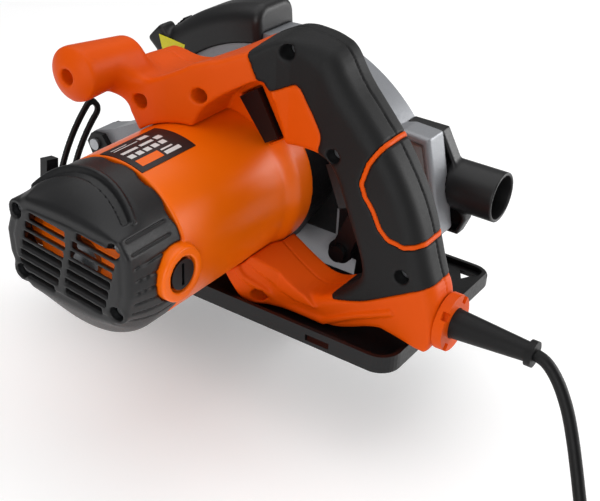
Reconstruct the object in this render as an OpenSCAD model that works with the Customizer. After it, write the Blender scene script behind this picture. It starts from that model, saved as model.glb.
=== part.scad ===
// Circular saw, mains powered, blade on the right, motor on the left.
// Saw frame: X runs along the spindle towards the blade side, Y is the cutting
// direction, Z is up. Its zero is where the spindle axis meets the blade plane;
// the whole saw is then lifted so that its lowest point stands on Z = 0.

/* [Blade and guards] */
// Blade diameter
blade_d = 185; // [180:1:190]
// Blade body thickness
blade_t = 1.8; // [1.2:0.1:2.2]
// Blade bore diameter
blade_bore = 20; // [16:1:22]
// Number of blade teeth
blade_teeth = 24; // [12:2:40]
// Outer radius of the fixed upper guard
guard_r = 110; // [107:0.5:114]
// Outer radius of the swinging lower guard
lower_r = 97; // [96.5:0.5:99]
// Thickness of the lower guard sheet
lower_t = 1.5; // [1:0.1:2]

/* [Motor] */
// Outer diameter of the motor barrel
motor_d = 94; // [88:1:96]
// Wall of the motor barrel
motor_wall = 3.5; // [2.5:0.1:4.5]
// Distance from the blade plane to the end cap's face
motor_reach = 203; // [196:1:215]
// Length of the black end cap
cap_len = 40; // [34:1:46]
// Width of the end cap's flat face
cap_face_w = 85; // [78:1:88]
// Height of the end cap's flat face
cap_face_h = 55; // [48:1:58]
// Diameter of the brush caps
brush_cap_d = 17; // [14:1:20]

/* [Gears] */
// Gear module
gear_module = 1.25;
// Teeth on the armature pinion
pinion_teeth = 19;
// Teeth on the spindle wheel
wheel_teeth = 42;
// Width of the gear teeth
gear_w = 13; // [9:1:14]

/* [Handle] */
// Distance from the blade plane to the handle's parting plane
handle_x = 66; // [64:0.5:68]
// Width of the main grip
grip_w = 36; // [32:1:36]
// Wall of the handle shells
shell_wall = 2.6; // [2:0.1:3]
// Thickness of the soft overmould
soft_t = 2; // [1.5:0.1:2.4]
// Diameter of the front knob
knob_d = 31; // [28:1:34]
// How far the front knob reaches past the handle's parting plane
knob_reach = 83; // [76:1:95]

/* [Base plate] */
// Distance from the spindle down to the sole
sole_drop = 29.5; // [28:0.5:31]
// Distance from the blade plane to the left edge
base_left = 101.5; // [98:0.5:106]
// Distance from the blade plane to the right edge
base_right = 31; // [29:0.5:36]
// Half of the base's length
base_half_len = 142; // [141:1:148]
// Thickness of the base sheet
base_t = 2.5; // [2:0.1:3]
// Height of the turned-up rim
rim_h = 10.7; // [8:0.1:12]
// Height of the rim beside the blade
rim_right_h = 6; // [4:0.1:7]

/* [Adjustments] */
// Bolt diameter of the depth clamp
depth_bolt_d = 6; // [5:0.5:6]
// Diameter of the depth pivot pin
pivot_d = 8; // [6:0.5:9]
// Swing range of the cutting depth in degrees
depth_range = 28; // [20:1:28]

/* [Dust port] */
// Outer diameter of the dust tube
tube_d = 31; // [28:1:34]
// Wall of the dust tube
tube_wall = 2; // [1.5:0.1:2.5]

/* [Cord] */
// Diameter of the mains cord
cord_d = 7; // [6:0.5:8]
// Length of the strain relief outside the handle
relief_len = 44; // [36:1:50]

/* [Hidden] */
$fn = 64;

// where the saw frame sits in the part's frame
y_front = base_half_len;
relief_y0 = -162;
y_rear = relief_y0 - relief_len - 4;
shift = [(motor_reach - base_right) / 2, -(y_front + y_rear) / 2, lower_r];
relief_end_y = y_rear;

// running clearances
run = 0.04;
gap = 0.3;

// motor axis, set by the gear centre distance
gear_a = gear_module * (pinion_teeth + wheel_teeth) / 2;
motor_y = -5;
motor_z = sqrt(gear_a * gear_a - motor_y * motor_y);
motor_r = motor_d / 2;
motor_face = -motor_reach;
cap_x1 = motor_face + cap_len;
plate_x0 = -50;
plate_t = 4;
gear_x0 = plate_x0 + plate_t;
wall_x = -15;
wall_t = 3;
flange_r = motor_r + 2.5;
flange_len = 12;
spigot_r = motor_r - 3;
brush_x = motor_face + 33;
shoulder = 24;
cap_y = motor_y;
cap_z = motor_z + 4.2;
screw_dy = 33.5;
screw_dz = 18.2;
CAP_FACE = [
    [36, 26], [26, 32], [1, 32], [-37, 29], [-43, 20], [-43, -2], [-39, -14], [-30, -22],
    [-15, -23], [27, -21], [37, -14], [41, -4], [42, 9]
];

// sole, base and brackets
sole_z = -sole_drop;
plate_top = sole_z + base_t;
slot_left = -23.5;
slot_right = 14;
slot_half = lower_r + 7;
lug_y = guard_r + 2;
lug_t = 2.5;
bracket_t = 4;
bracket_y = lug_y + lug_t + 0.5;
bevel_z = plate_top + 4.5;
bevel_pin_r = 2.5;
pivot_y = 132.5;
pivot_z = 8;
arm_x0 = -34;
arm_x1 = -16;
ear_t = 4;
quad_r0 = 83;
quad_r1 = 99;
quad_rm = (quad_r0 + quad_r1) / 2;
clamp_a = 177;
clamp_r = 2.9;
bolt_y = -67;
bolt_z = -6;
bolt_r = depth_bolt_d / 2;
depth_r = norm([pivot_y - bolt_y, pivot_z - bolt_z]);
depth_a = 180 + atan2(pivot_z - bolt_z, pivot_y - bolt_y);
quad_x1 = -22.2;
quad_t = 2.8;
lever_x1 = quad_x1 - quad_t - 0.4;

// handle outline, seen from the left: [y, z]
hx = -handle_x;
grip_x0 = hx - grip_w / 2;
grip_x1 = hx + grip_w / 2;
knob_y = 42;
knob_z = 113;
knob_r = knob_d / 2;
collar_z = -3;
collar_y = -156;
OUTLINE = [
    [28, 80], [34, 90], [42, 94], [48, 99], [47, 106], [39, 107], [31, 104.5],
    [20, 105], [10, 108], [-2, 113.5], [-14, 120.5], [-28, 129.5], [-46, 139.4],
    [-54, 142.2], [-65, 141.6], [-73, 140.3], [-82.4, 137], [-91.3, 121.6],
    [-104.7, 107.5], [-116.4, 94.6], [-124.2, 83.7], [-132.7, 70.6],
    [-138.6, 58.7], [-142.9, 47.4], [-149.9, 26], [-156, 14], [-156, -19.5],
    [-146, -19.5], [-138, -16], [-130, -14.2], [-122, -13], [-98, -24.5], [-88, -25.5],
    [-56, -25.8], [-40, -25.8], [-33, -19], [-20, 10], [5, 40]
];
OPENING = [
    [-30, 15], [-45, 8], [-62, -4], [-77, -11], [-94, -3], [-107, 10],
    [-110, 20], [-97, 50], [-86, 76], [-74, 80], [-56, 80], [-40, 72], [-30, 60]
];
SOFT_AREA = [
    [-25, 160], [-37.6, 128.5], [-41.7, 116], [-48, 109.5], [-63.5, 117.5],
    [-79, 91.5], [-76, 79], [-76, 60], [-80, 20], [-90, -8], [-113, 0],
    [-141, 17], [-151, 22], [-175, 24], [-175, 160]
];
RECESS = [
    [-8, 82], [-14, 96], [-25, 106], [-44, 117.7], [-48, 109.5], [-57.5, 82],
    [-52, 70], [-30, 60]
];
LEFT_PLAN = [
    [-48, 70], [-113.5, 70], [-113.5, 16], [-105.7, -15.5], [-96, -37.6], [-84, -57],
    [-84, -175], [-48, -175]
];
BUTTON = [[-20, 96.6], [-32, 104.3], [-47, 78.7], [-38.5, 73.5]];
recess_x = hx - 9;
HANDLE_SCREWS = [
    [22.6, 93.4], [-13, 103.7], [-56.5, 133.6], [-87, 82], [-134.9, 24.9], [-46, -18.5]
];
trigger_c = [-91.5, 63];
trigger_a = atan2(26, 11);
trigger_w = 18;
trigger_len = 26;

// cord route, part frame, mm, chosen by hand
CORD = [
    [20, -176, 94], [19.5, -182, 92.5], [18.5, -188, 88], [17, -194, 81],
    [14.5, -200.5, 71], [10.5, -207, 59], [4.5, -214, 46], [-2.5, -221, 33.5],
    [-11.5, -229, 21.5], [-22.5, -238, 12], [-35.5, -247.5, 6.5], [-49.5, -257, 4.2],
    [-63.5, -266, 3.6], [-77, -276, 3.6], [-88, -288, 3.6], [-94, -302, 3.6]
];
TAIL = [
    [-69, -278.5, 10.9], [-80, -283.5, 10.9], [-90, -291.5, 10.9], [-98, -302.5, 10.8],
    [-102.5, -315.5, 10], [-102.3, -329.5, 8], [-98, -343, 5.6], [-90.5, -354.5, 4],
    [-81, -364.5, 3.6], [-70.5, -372, 3.6], [-58.5, -377.5, 3.6], [-46, -381.8, 4],
    [-33.5, -385.5, 6], [-21.5, -389.3, 11], [-9.8, -393, 16], [2, -396.8, 18]
];
coil_c = [-49.5, -320];
coil_r = 39;
coil_rows = 3;
coil_layers = 2;
plug_a = -20;

// ---------- shared geometry ----------

// the saw frame inside the part frame
module saw() {
    translate(shift) children();
}

// outline in [y, z], extruded from x0 to x1
module along_x(p, x0, x1) {
    translate([x0, 0, 0]) rotate([90, 0, 90]) linear_extrude(x1 - x0) polygon(p);
}

// outline in [x, z], extruded from y0 to y1
module along_y(p, y0, y1) {
    translate([0, y1, 0]) rotate([90, 0, 0]) linear_extrude(y1 - y0) polygon(p);
}

// round bar parallel to X
module bar_x(r, x0, x1, y = 0, z = 0) {
    translate([x0, y, z]) rotate([0, 90, 0]) cylinder(r = r, h = x1 - x0);
}

// round bar parallel to Y
module bar_y(r, y0, y1, x = 0, z = 0) {
    translate([x, y0, z]) rotate([-90, 0, 0]) cylinder(r = r, h = y1 - y0);
}

// tube parallel to X
module tube_x(r1, r0, x0, x1, y = 0, z = 0) {
    difference() {
        bar_x(r1, x0, x1, y, z);
        bar_x(r0, x0 - 1, x1 + 1, y, z);
    }
}

function unit(v) = v / norm(v);
function left_of(v) = [-v[1], v[0]];

// outline moved inwards by d; its points run clockwise seen along the extrusion
function inset(p, d) = let (n = len(p)) [
    for (i = [0 : n - 1])
        let (
            a = left_of(unit(p[i] - p[(i + n - 1) % n])),
            b = left_of(unit(p[(i + 1) % n] - p[i]))
        ) p[i] + (a + b) * d / (1 + a * b)
];

// arc points [r cos, r sin] from a0 to a1
function arc(r, a0, a1, n = 24) = [
    for (i = [0 : n]) let (a = a0 + (a1 - a0) * i / n) [r * cos(a), r * sin(a)]
];

// pie slice large enough to cut a ring of radius r
function slice(r, a0, a1) = concat([[0, 0]], arc(r / cos((a1 - a0) / 16), a0, a1, 8));

// ring sector about the spindle in [y, z]
module sector_x(r1, r0, a0, a1, x0, x1) {
    intersection() {
        difference() {
            bar_x(r1, x0, x1);
            if (r0 > 0) bar_x(r0, x0 - 1, x1 + 1);
        }
        along_x(slice(2 * r1, a0, a1), x0 - 1, x1 + 1);
    }
}

// rounded rectangle in [y, z] about a centre, sides w and h, corner cut c
function chamfered(cy, cz, w, h, c) = [
    for (s = [[1, 1, 0], [1, 1, 1], [-1, 1, 1], [-1, 1, 0],
              [-1, -1, 0], [-1, -1, 1], [1, -1, 1], [1, -1, 0]])
        [cy + s[0] * (w / 2 - s[2] * c), cz + s[1] * (h / 2 - (1 - s[2]) * c)]
];

// outline of a spur gear, straight flanks
function gear_outline(z, root, tip, frac) = [
    for (i = [0 : z - 1])
        for (k = [[-0.5, root], [-frac / 2 - 0.05, root], [-frac * 0.22, tip],
                  [frac * 0.22, tip], [frac / 2 + 0.05, root]])
            let (a = 360 * (i + k[0]) / z) [k[1] * cos(a), k[1] * sin(a)]
];

// ---------- motor ----------

// orange barrel with its brush bosses, flange and the spigot under the end cap
module motor_housing() {
    color("#d85a08") saw() difference() {
        union() {
            bar_x(motor_r, cap_x1, plate_x0, motor_y, motor_z);
            bar_x(flange_r, plate_x0 - flange_len, plate_x0, motor_y, motor_z);
            bar_x(spigot_r, motor_face + shoulder, cap_x1, motor_y, motor_z);
            for (s = [-1, 1])
                bar_y(brush_cap_d / 2 + 7, motor_y + (s > 0 ? 36 : -motor_r - 3.5),
                      motor_y + (s > 0 ? motor_r + 3.5 : -36), brush_x, motor_z);
        }
        difference() {
            bar_x(spigot_r - motor_wall, motor_face + shoulder - 1, plate_x0 + 1,
                  motor_y, motor_z);
            intersection() {
                bar_x(spigot_r, motor_face + shoulder, cap_x1, motor_y, motor_z);
                end_cap_bores(motor_face + shoulder, cap_x1, 5);
            }
            for (s = [-1, 1])
                bar_y(brush_cap_d / 2 + 3, motor_y + (s > 0 ? 34 : -motor_r),
                      motor_y + (s > 0 ? motor_r : -34), brush_x, motor_z);
        }
        bar_x(motor_r - motor_wall, cap_x1 + 3, plate_x0 + 1, motor_y, motor_z);
        bar_y(brush_cap_d / 2 + run, motor_y - motor_r - 5, motor_y + motor_r + 5,
              brush_x, motor_z);
        end_cap_bores(motor_face + 12, motor_face + 38, 1.6);
    }
}

// the four end cap screw bores
module end_cap_bores(x0, x1, r) {
    for (sy = [-1, 1], sz = [-1, 1])
        bar_x(r, x0, x1, cap_y + sy * screw_dy, cap_z + sz * screw_dz);
}

// domed cap between its flat face and the barrel, moved inwards by d
module cap_dome(d) {
    k = [(cap_face_w - 2 * d) / 85, (cap_face_h - 2 * d) / 55];
    hull() {
        along_x([for (p = CAP_FACE) [cap_y + k[0] * p[0], motor_z + k[1] * p[1]]],
                motor_face + d, motor_face + d + 2);
        bar_x(motor_r - d, motor_face + shoulder, cap_x1, motor_y, motor_z, $fn = 48);
    }
}

// black end cap: flat louvred face, domed shoulder, skirt over the spigot
module end_cap() {
    color("#2b2b2d") saw() difference() {
        cap_dome(0);
        difference() {
            cap_dome(3);
            end_cap_bores(motor_face + 2, motor_face + shoulder, 6);
            bar_x(14, motor_face + 2, motor_face + 18, motor_y, motor_z);
        }
        bar_x(spigot_r + 0.05, motor_face + shoulder, cap_x1 + 1, motor_y, motor_z);
        bar_x(11.02, motor_face + 10, motor_face + 19, motor_y, motor_z);
        for (s = [-1, 1])
            bar_y(brush_cap_d / 2 + 7.3, motor_y + (s > 0 ? 30 : -motor_r - 8),
                  motor_y + (s > 0 ? motor_r + 8 : -30), brush_x, motor_z);
        for (row = [-3 : 3], s = [-1, 1])
            translate([motor_face - 1, cap_y + s * 17 - row * 1.6, cap_z + row * 5.8])
                rotate([6, 0, 0]) translate([0, -12.5, -1.5]) cube([4.5, 25, 3]);
        end_cap_bores(motor_face - 1, motor_face + 10, 4);
        end_cap_bores(motor_face + 9, motor_face + shoulder + 1, 1.6);
    }
}

module end_cap_screws() {
    color("#8d8f92") saw() for (sy = [-1, 1], sz = [-1, 1]) {
        bar_x(3.6, motor_face + 6, motor_face + 10, cap_y + sy * screw_dy, cap_z + sz * screw_dz);
        bar_x(1.56, motor_face + 10, motor_face + 34, cap_y + sy * screw_dy,
              cap_z + sz * screw_dz);
    }
}

// slotted plastic caps that close the brush bores
module brush_caps() {
    color("#232325") saw() for (s = [-1, 1]) difference() {
        bar_y(brush_cap_d / 2, s > 0 ? motor_y + motor_r - 3 : motor_y - motor_r - 3,
              s > 0 ? motor_y + motor_r + 3 : motor_y - motor_r + 3, brush_x, motor_z);
        translate([brush_x, motor_y + s * (motor_r + 3), motor_z])
            cube([2, 3, brush_cap_d - 4], center = true);
    }
}

module brush_holders() {
    color("#b08d3c") saw() for (s = [-1, 1]) difference() {
        bar_y(brush_cap_d / 2, motor_y + (s > 0 ? 20 : 3 - motor_r),
              motor_y + (s > 0 ? motor_r - 3 : -20), brush_x, motor_z);
        translate([brush_x, motor_y + s * 32, motor_z]) cube([9.6, 26, 6.6], center = true);
    }
}

module carbon_brushes() {
    color("#3a3a3a") saw() for (s = [-1, 1])
        translate([brush_x, motor_y + s * 23.4, motor_z]) cube([9.4, 17, 6.4], center = true);
}

module stator_core() {
    color("#77797c") saw() difference() {
        bar_x(motor_r - motor_wall - 0.1, -136, -84, motor_y, motor_z);
        bar_x(26.6, -137, -83, motor_y, motor_z);
        for (s = [-1, 1])
            translate([-110, motor_y, motor_z + s * 33]) cube([54, 44, 9], center = true);
    }
}

module field_coils() {
    color("#a0522d") saw() for (s = [-1, 1])
        translate([-110, motor_y, motor_z + s * 33]) difference() {
            cube([66, 43, 8], center = true);
            cube([52, 30, 9], center = true);
        }
}

// curved type plate, generic layout, on top of the barrel
module rating_plate() {
    color("#1d1d1f") saw() intersection() {
        tube_x(motor_r + 0.4, motor_r, cap_x1 + 1, cap_x1 + 44, motor_y, motor_z);
        translate([0, motor_y, motor_z]) along_x(slice(80, 75, 111), cap_x1, cap_x1 + 45);
    }
}

module motor_bearings() {
    color("#b9bcc0") saw() {
        tube_x(11, 4 + run, motor_face + 12, motor_face + 19, motor_y, motor_z);
        tube_x(11, 4 + run, plate_x0 - 4, plate_x0 + 3, motor_y, motor_z);
    }
}

// armature shaft with the pinion cut on its end
module armature_shaft() {
    color("#9a9da1") saw() {
        bar_x(4, motor_face + 10, gear_x0 + 1, motor_y, motor_z);
        translate([0, motor_y, motor_z]) rotate([mesh_angle(), 0, 0])
            along_x(gear_outline(pinion_teeth, pitch_r(pinion_teeth) - 1.3,
                                 pitch_r(pinion_teeth) + 0.9, 0.42),
                    gear_x0 + 1, gear_x0 + 2 + gear_w);
    }
}

function pitch_r(z) = gear_module * z / 2;
// direction from the motor axis to the spindle, where a tooth meets a gap
function mesh_angle() = atan2(-motor_z, -motor_y) + 180 / pinion_teeth;
function wheel_angle() = atan2(motor_z, motor_y);

module armature_core() {
    color("#6f7174") saw() difference() {
        bar_x(26, -136, -84, motor_y, motor_z);
        bar_x(4.02, -137, -83, motor_y, motor_z);
        for (i = [0 : 11])
            translate([-137, motor_y, motor_z]) rotate([i * 30, 0, 0])
                translate([0, -1.5, 17]) cube([54, 3, 10]);
    }
}

module commutator() {
    color("#b87333") saw() tube_x(14.6, 4.02, brush_x - 9, brush_x + 9, motor_y, motor_z);
}

module cooling_fan() {
    color("#e0e0dc") saw() {
        tube_x(36, 4.02, -68, -66, motor_y, motor_z);
        tube_x(10, 4.02, -78, -68, motor_y, motor_z);
        for (i = [0 : 13])
            translate([-76, motor_y, motor_z]) rotate([i * 360 / 14, 0, 0])
                translate([0, -0.8, 16]) cube([8, 1.6, 19]);
    }
}

// ---------- gear case and spindle ----------

// outline of the gear case: circles about both axes with their common tangents
function case_outline(rm, rs) = let (
    d = norm([motor_y, motor_z]),
    t = acos((rs - rm) / d),
    u = atan2(motor_z, motor_y)
) concat(
    [for (p = arc(rs, u + t, u + 360 - t, 24)) p],
    [for (p = arc(rm, u - t, u + t, 24)) p + [motor_y, motor_z]]
);

// aluminium plate that carries both inner bearings
module gear_plate() {
    color("#a9abad") saw() difference() {
        union() {
            along_x(case_outline(motor_r - 2, case_r), plate_x0, gear_x0);
            case_screw_bores(plate_x0, gear_x0, 5);
        }
        bar_x(11.02, plate_x0 - 1, plate_x0 + 3, motor_y, motor_z);
        bar_x(4.5, plate_x0, gear_x0 + 1, motor_y, motor_z);
        bar_x(8.02, plate_x0 - 1, gear_x0 + 1);
        case_screw_bores(plate_x0 - 1, gear_x0 + 1, 2.2);
    }
}

case_r = 29;
CASE_SCREWS = [[27.5, 60], [-37, 60], [22.6, -22.6], [-22.6, -22.6]];
module case_screw_bores(x0, x1, r) {
    for (p = CASE_SCREWS) bar_x(r, x0, x1, p[0], p[1]);
}

// cast aluminium case around the reduction gear
module gear_housing() {
    color("#b4b6b8") saw() difference() {
        union() {
            along_x(case_outline(motor_r - 2, case_r), gear_x0, wall_x);
            case_screw_bores(gear_x0, wall_x - 8, 5);
        }
        difference() {
            along_x(case_outline(motor_r - 6, case_r - 1.6), gear_x0 - 1, wall_x - 4);
            for (p = CASE_SCREWS) bar_x(4, gear_x0 - 2, wall_x, p[0], p[1]);
            bar_x(20, wall_x - 13, wall_x);
        }
        bar_x(16.02, wall_x - 12, wall_x + 1);
        bar_x(8.2, wall_x - 14, wall_x);
        case_screw_bores(gear_x0 - 1, wall_x - 12, 2.02);
        bar_y(lock_r + run, 5, 60, lock_x, lock_z);
    }
}

module gear_housing_screws() {
    color("#8d8f92") saw() for (p = CASE_SCREWS) {
        bar_x(4, plate_x0 - 3.5, plate_x0, p[0], p[1]);
        bar_x(2, plate_x0, wall_x - 14, p[0], p[1]);
    }
}

module spindle_bearings() {
    color("#c2c5c9") saw() {
        tube_x(8, 5 + run, plate_x0 + 0.2, gear_x0);
        tube_x(16, 7.5 + run, wall_x - 11, wall_x - 1);
    }
}

spindle_x0 = -49.5;
wheel_x0 = gear_x0 + 2;
module spindle() {
    color("#8f9296") saw() difference() {
        union() {
            bar_x(5, spindle_x0, gear_x0 + 0.5);
            bar_x(7.5, gear_x0 + 0.5, -6);
            bar_x(6, -6, -1);
        }
        bar_x(4 + run, -20, 0);
        bar_y(lock_r + 0.2, 2, 9, lock_x, lock_z);
    }
}

module gear_wheel() {
    color("#85888c") saw() difference() {
        rotate([wheel_angle(), 0, 0])
            along_x(gear_outline(wheel_teeth, pitch_r(wheel_teeth) - 1.3,
                                 pitch_r(wheel_teeth) + 0.7, 0.42),
                    wheel_x0, wheel_x0 + gear_w - 1);
        bar_x(7.52, wheel_x0 - 1, wheel_x0 + gear_w);
        for (i = [0 : 5]) rotate([i * 60 + 30, 0, 0]) bar_x(2.2, wheel_x0 - 1, wheel_x0 + gear_w, 18, 0);
    }
}

module inner_flange() {
    color("#6c6f73") saw() difference() {
        union() {
            bar_x(20, -5.9, -blade_t / 2);
            bar_x(blade_bore / 2 - 0.03, -blade_t / 2, blade_t / 2 - 0.2);
        }
        bar_x(6.02, -7, -1);
        bar_x(4.3, -2, 2);
    }
}

module outer_flange() {
    color("#6c6f73") saw() tube_x(17, 4.1, blade_t / 2, blade_t / 2 + 4);
}

// outline of the blade with hooked teeth
function blade_outline(n, r, depth) = [
    for (i = [0 : n - 1])
        for (k = [[0, 0], [0.12, -0.25], [0.55, -0.8], [0.8, -1], [0.93, -0.8]])
            let (a = -360 * (i + k[0]) / n, q = r + k[1] * depth) [q * cos(a), q * sin(a)]
];

module blade() {
    color("#c9cbce") saw() difference() {
        along_x(blade_outline(blade_teeth, blade_d / 2, 8), -blade_t / 2, blade_t / 2);
        bar_x(blade_bore / 2, -2, 2);
        for (i = [0 : 3]) rotate([i * 90 + 20, 0, 0]) {
            bar_x(3, -2, 2, 66, 0);
            translate([-2, 66, -0.6]) cube([4, 30, 1.2]);
        }
    }
}

module blade_bolt() {
    color("#53565a") saw() {
        bar_x(4, -16, blade_t / 2 + 4);
        bar_x(9, blade_t / 2 + 4, blade_t / 2 + 5.5);
        translate([blade_t / 2 + 5.5, 0, 0]) rotate([0, 90, 0]) cylinder(r = 7.5, h = 5.5, $fn = 6);
    }
}

// push pin that locks the spindle through the gear case
lock_x = -29;
lock_z = 0;
lock_r = 2.5;
lock_y1 = 38;
module spindle_lock() {
    color("#222224") saw() {
        bar_y(lock_r, 11, lock_y1, lock_x, lock_z);
        bar_y(7, lock_y1, lock_y1 + 6, lock_x, lock_z);
    }
}

// ---------- guards ----------

// cast upper guard with the depth pivot arm and the depth clamp boss
module upper_guard() {
    arm = [[72, 22], [76, 40], [96, 33], [120, 21], [pivot_y, pivot_z + 9], [pivot_y, pivot_z - 5.5],
           [96, 2.5], [76, 2.5]];
    color("#b8babd") saw() difference() {
        union() {
            difference() {
                union() {
                    sector_x(guard_r, 0, -4, 184, wall_x, slot_right);
                }
                bar_x(guard_r - 3, wall_x + wall_t, slot_right - 3);
                bar_x(62, slot_right - 4, slot_right + 1);
                translate([slot_right - 3 - 0.01, -guard_r - 1, -20])
                    cube([5, 2 * guard_r + 2, 24]);
                chute_window();
            }
            bar_x(hub_r, wall_x + wall_t - 0.5, lower_x0 + lower_t + 1.6);
            along_x(arm, arm_x0, wall_x);
            bar_x(8.5, arm_x0, arm_x1, pivot_y, pivot_z);
            along_x([[bolt_y - 7, bolt_z], [bolt_y - 5, bolt_z + 14], [bolt_y + 12, bolt_z + 20],
                     [bolt_y + 12, bolt_z]], quad_x1 + 0.4, wall_x);
            bar_x(9, quad_x1 + 0.4, wall_x, bolt_y, bolt_z);
        }
        translate([arm_x1, 0, -20]) along_x([[112, 0], [145, 0], [145, 60], [112, 60]], 0, 5);
        bar_x(pivot_d / 2 + run, arm_x0 - 1, arm_x1 + 1, pivot_y, pivot_z);
        bar_x(bolt_r, quad_x1 - 1, wall_x + wall_t + 1, bolt_y, bolt_z);
        bar_x(16.02, wall_x - 1, wall_x + 0.5);
        bar_x(12, wall_x - 1, 0);
    }
}

// window in the guard's rear rim where the chips leave
module chute_window() {
    along_x(slice(140, 152, 170), wall_x + wall_t + 1, 9);
}

// sheet steel lower guard: left plate with its hub, rim, and right lip
lower_x0 = -11;
lower_x1 = 9;
hub_r = 23;
LOWER_A0 = -184;
LOWER_A1 = 3;
module lower_guard() {
    color("#c3c5c8") saw() difference() {
        union() {
            sector_x(lower_r, 0, LOWER_A0, -90, lower_x0, lower_x0 + lower_t);
            sector_x(lower_r, 0, -90.1, LOWER_A1, lower_x0, lower_x0 + lower_t);
            bar_x(32, lower_x0, lower_x0 + lower_t);
            sector_x(lower_r, lower_r - lower_t, LOWER_A0, -90, lower_x0, lower_x1);
            sector_x(lower_r, lower_r - lower_t, -90.1, LOWER_A1, lower_x0, lower_x1);
            sector_x(lower_r, 80, LOWER_A0, -90, lower_x1 - lower_t, lower_x1);
            sector_x(lower_r, 80, -90.1, LOWER_A1, lower_x1 - lower_t, lower_x1);
            sector_x(lower_r, 45, -196, LOWER_A0 + 2, lower_x1 - lower_t, lower_x1);
        }
        bar_x(hub_r + run, lower_x0 - 1, lower_x0 + 2);
        bar_x(2.5, lower_x1 - 2, lower_x1 + 1, lever_pos[0], lever_pos[1]);
    }
}

lever_pos = [-52 * cos(10), 52 * sin(10)];
module guard_lever() {
    color("#1f1f21") saw() {
        bar_x(2.5, lower_x1 - lower_t, lower_x1, lever_pos[0], lever_pos[1]);
        bar_x(4.5, lower_x1, 24, lever_pos[0], lever_pos[1]);
    }
}

// circlip that keeps the lower guard on its boss
module guard_ring() {
    color("#6b6e72") saw() tube_x(25.5, hub_r + 0.01, lower_x0 + lower_t + 0.2, lower_x0 + lower_t + 1.2);
}

// flat coil of the return spring around the circlip
module guard_spring() {
    color("#7b7e82") saw() tube_x(30.5, 27, lower_x0 + lower_t + 0.3, lower_x0 + lower_t + 2.3);
}

// black cover over the guard's front with the line laser inside
cover_r0 = 104;
cover_r1 = 127;
cover_x0 = -20;
cover_x1 = 19;
cover_a0 = 40;
cover_a1 = 86;
cover_wall = 2.5;
laser_r = guard_r + 6.1;
module laser_cover() {
    color("#242426") saw() difference() {
        sector_x(cover_r1, cover_r0, cover_a0, cover_a1, cover_x0, cover_x1);
        bar_x(guard_r + 0.1, wall_x - 0.1, slot_right + 0.1);
        difference() {
            sector_x(cover_r1 - cover_wall, cover_r0 - 2, cover_a0 + 1.3, cover_a1 - 1.3,
                     wall_x - 2, slot_right + 2);
            bar_x(guard_r + 0.1, cover_x0, cover_x1);
        }
        laser_seat(5.6 + run);
        rotate([-43, 0, 0]) translate([-4.2, -9, cover_r1 - 4]) cube([8.4, 16.4, 6]);
    }
}

// place of the laser tube, behind the cover's front wall
module laser_seat(r) {
    rotate([cover_a0, 0, 0]) bar_laser(r);
}
module bar_laser(r) {
    translate([0, laser_r, -2]) cylinder(r = r, h = 24);
}

module laser_module() {
    color("#8a6d2f") saw() rotate([cover_a0, 0, 0]) {
        translate([0, laser_r, -0.5]) cylinder(r = 5.6, h = 17);
    }
}

module laser_switch() {
    color("#1b1b1d") saw() rotate([-43, 0, 0]) {
        translate([-4, -8.8, cover_r1 - 3.8]) cube([8, 11.5, 3.8]);
        for (i = [0 : 3])
            translate([-4, -8.8 + i * 3, cover_r1]) cube([8, 1.6, 2.2]);
    }
}

// ---------- dust outlet ----------
CHUTE = [[-84, 72], [-91, 74], [-108, 73], [-114.5, 46], [-121, 14], [-112, 8], [-90, 8]];
PORT = [[-83.5, 72], [-106.7, 72], [-117.8, 52.8], [-128.5, 19], [-124.4, 8.5], [-90, 8.5]];
chute_x1 = 4;
port_x1 = 15;

// grey chute box bolted to the guard's rear
module dust_chute() {
    color("#c2c4c6") saw() difference() {
        along_x(CHUTE, wall_x, chute_x1);
        bar_x(guard_r + 0.05, wall_x - 1, chute_x1 + 1);
        along_x(inset(CHUTE, 2.2), wall_x + 2.2, chute_x1 + 1);
        tube_bore();
    }
}

// black half of the chute with the round outlet
tube_c = [12.5, 38];
tube_y1 = -147;
// round bore of the outlet, a relief behind it and the mouth into the chute
module tube_bore() {
    bar_y(tube_d / 2 - tube_wall, tube_y1 - 1, -123, tube_c[0], tube_c[1]);
    bar_y(tube_d / 2 - tube_wall + 0.8, -123, -119, tube_c[0], tube_c[1]);
    bar_y(tube_d / 2 - tube_wall - 1.5, -119.1, -112, tube_c[0], tube_c[1]);
}
module dust_port() {
    color("#232325") saw() difference() {
        union() {
            difference() {
                along_x(PORT, chute_x1, port_x1);
                along_x(inset(PORT, 2.2), chute_x1 - 1, port_x1 - 2.2);
            }
            bar_y(tube_d / 2, tube_y1, -123, tube_c[0], tube_c[1]);
            bar_y(tube_d / 2 + 2.5, -125.5, -122.5, tube_c[0], tube_c[1]);
        }
        tube_bore();
        bar_x(guard_r + 0.05, wall_x - 1, port_x1 + 1);
        along_x(CHUTE, wall_x - 1, chute_x1);
    }
}

// ---------- handle ----------

// solid handle between x0 and x1, moved inwards by d
module handle_body(d, x0, x1) {
    intersection() {
        along_x(inset(OUTLINE, d), x0, x1);
        translate([0, 0, -60]) linear_extrude(260) polygon(inset(LEFT_PLAN, d));
    }
}

// spaces that other pieces take: the motor barrel, the recess and the opening
module handle_cuts(d) {
    bar_x(motor_r + 0.1 + d, -125, plate_x0 - flange_len, motor_y, motor_z);
    bar_x(flange_r + 0.1 + d, plate_x0 - flange_len - 0.1 - d, plate_x0 + 3, motor_y, motor_z);
    along_x(inset(RECESS, -d), -125, recess_x + d);
    along_x(inset(OPENING, -d), -125, -40);
}

// soft overmould on one side of the parting plane
module soft_layer(x0, x1) {
    difference() {
        intersection() {
            handle_body(0, x0, x1);
            along_x(SOFT_AREA, x0, x1);
        }
        handle_cuts(0);
        difference() {
            handle_body(soft_t, x0 - 1, x1 + 1);
            handle_cuts(soft_t);
        }
        trigger_slot();
        handle_screw_bores(-120, -40, 4.2);
    }
}

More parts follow.
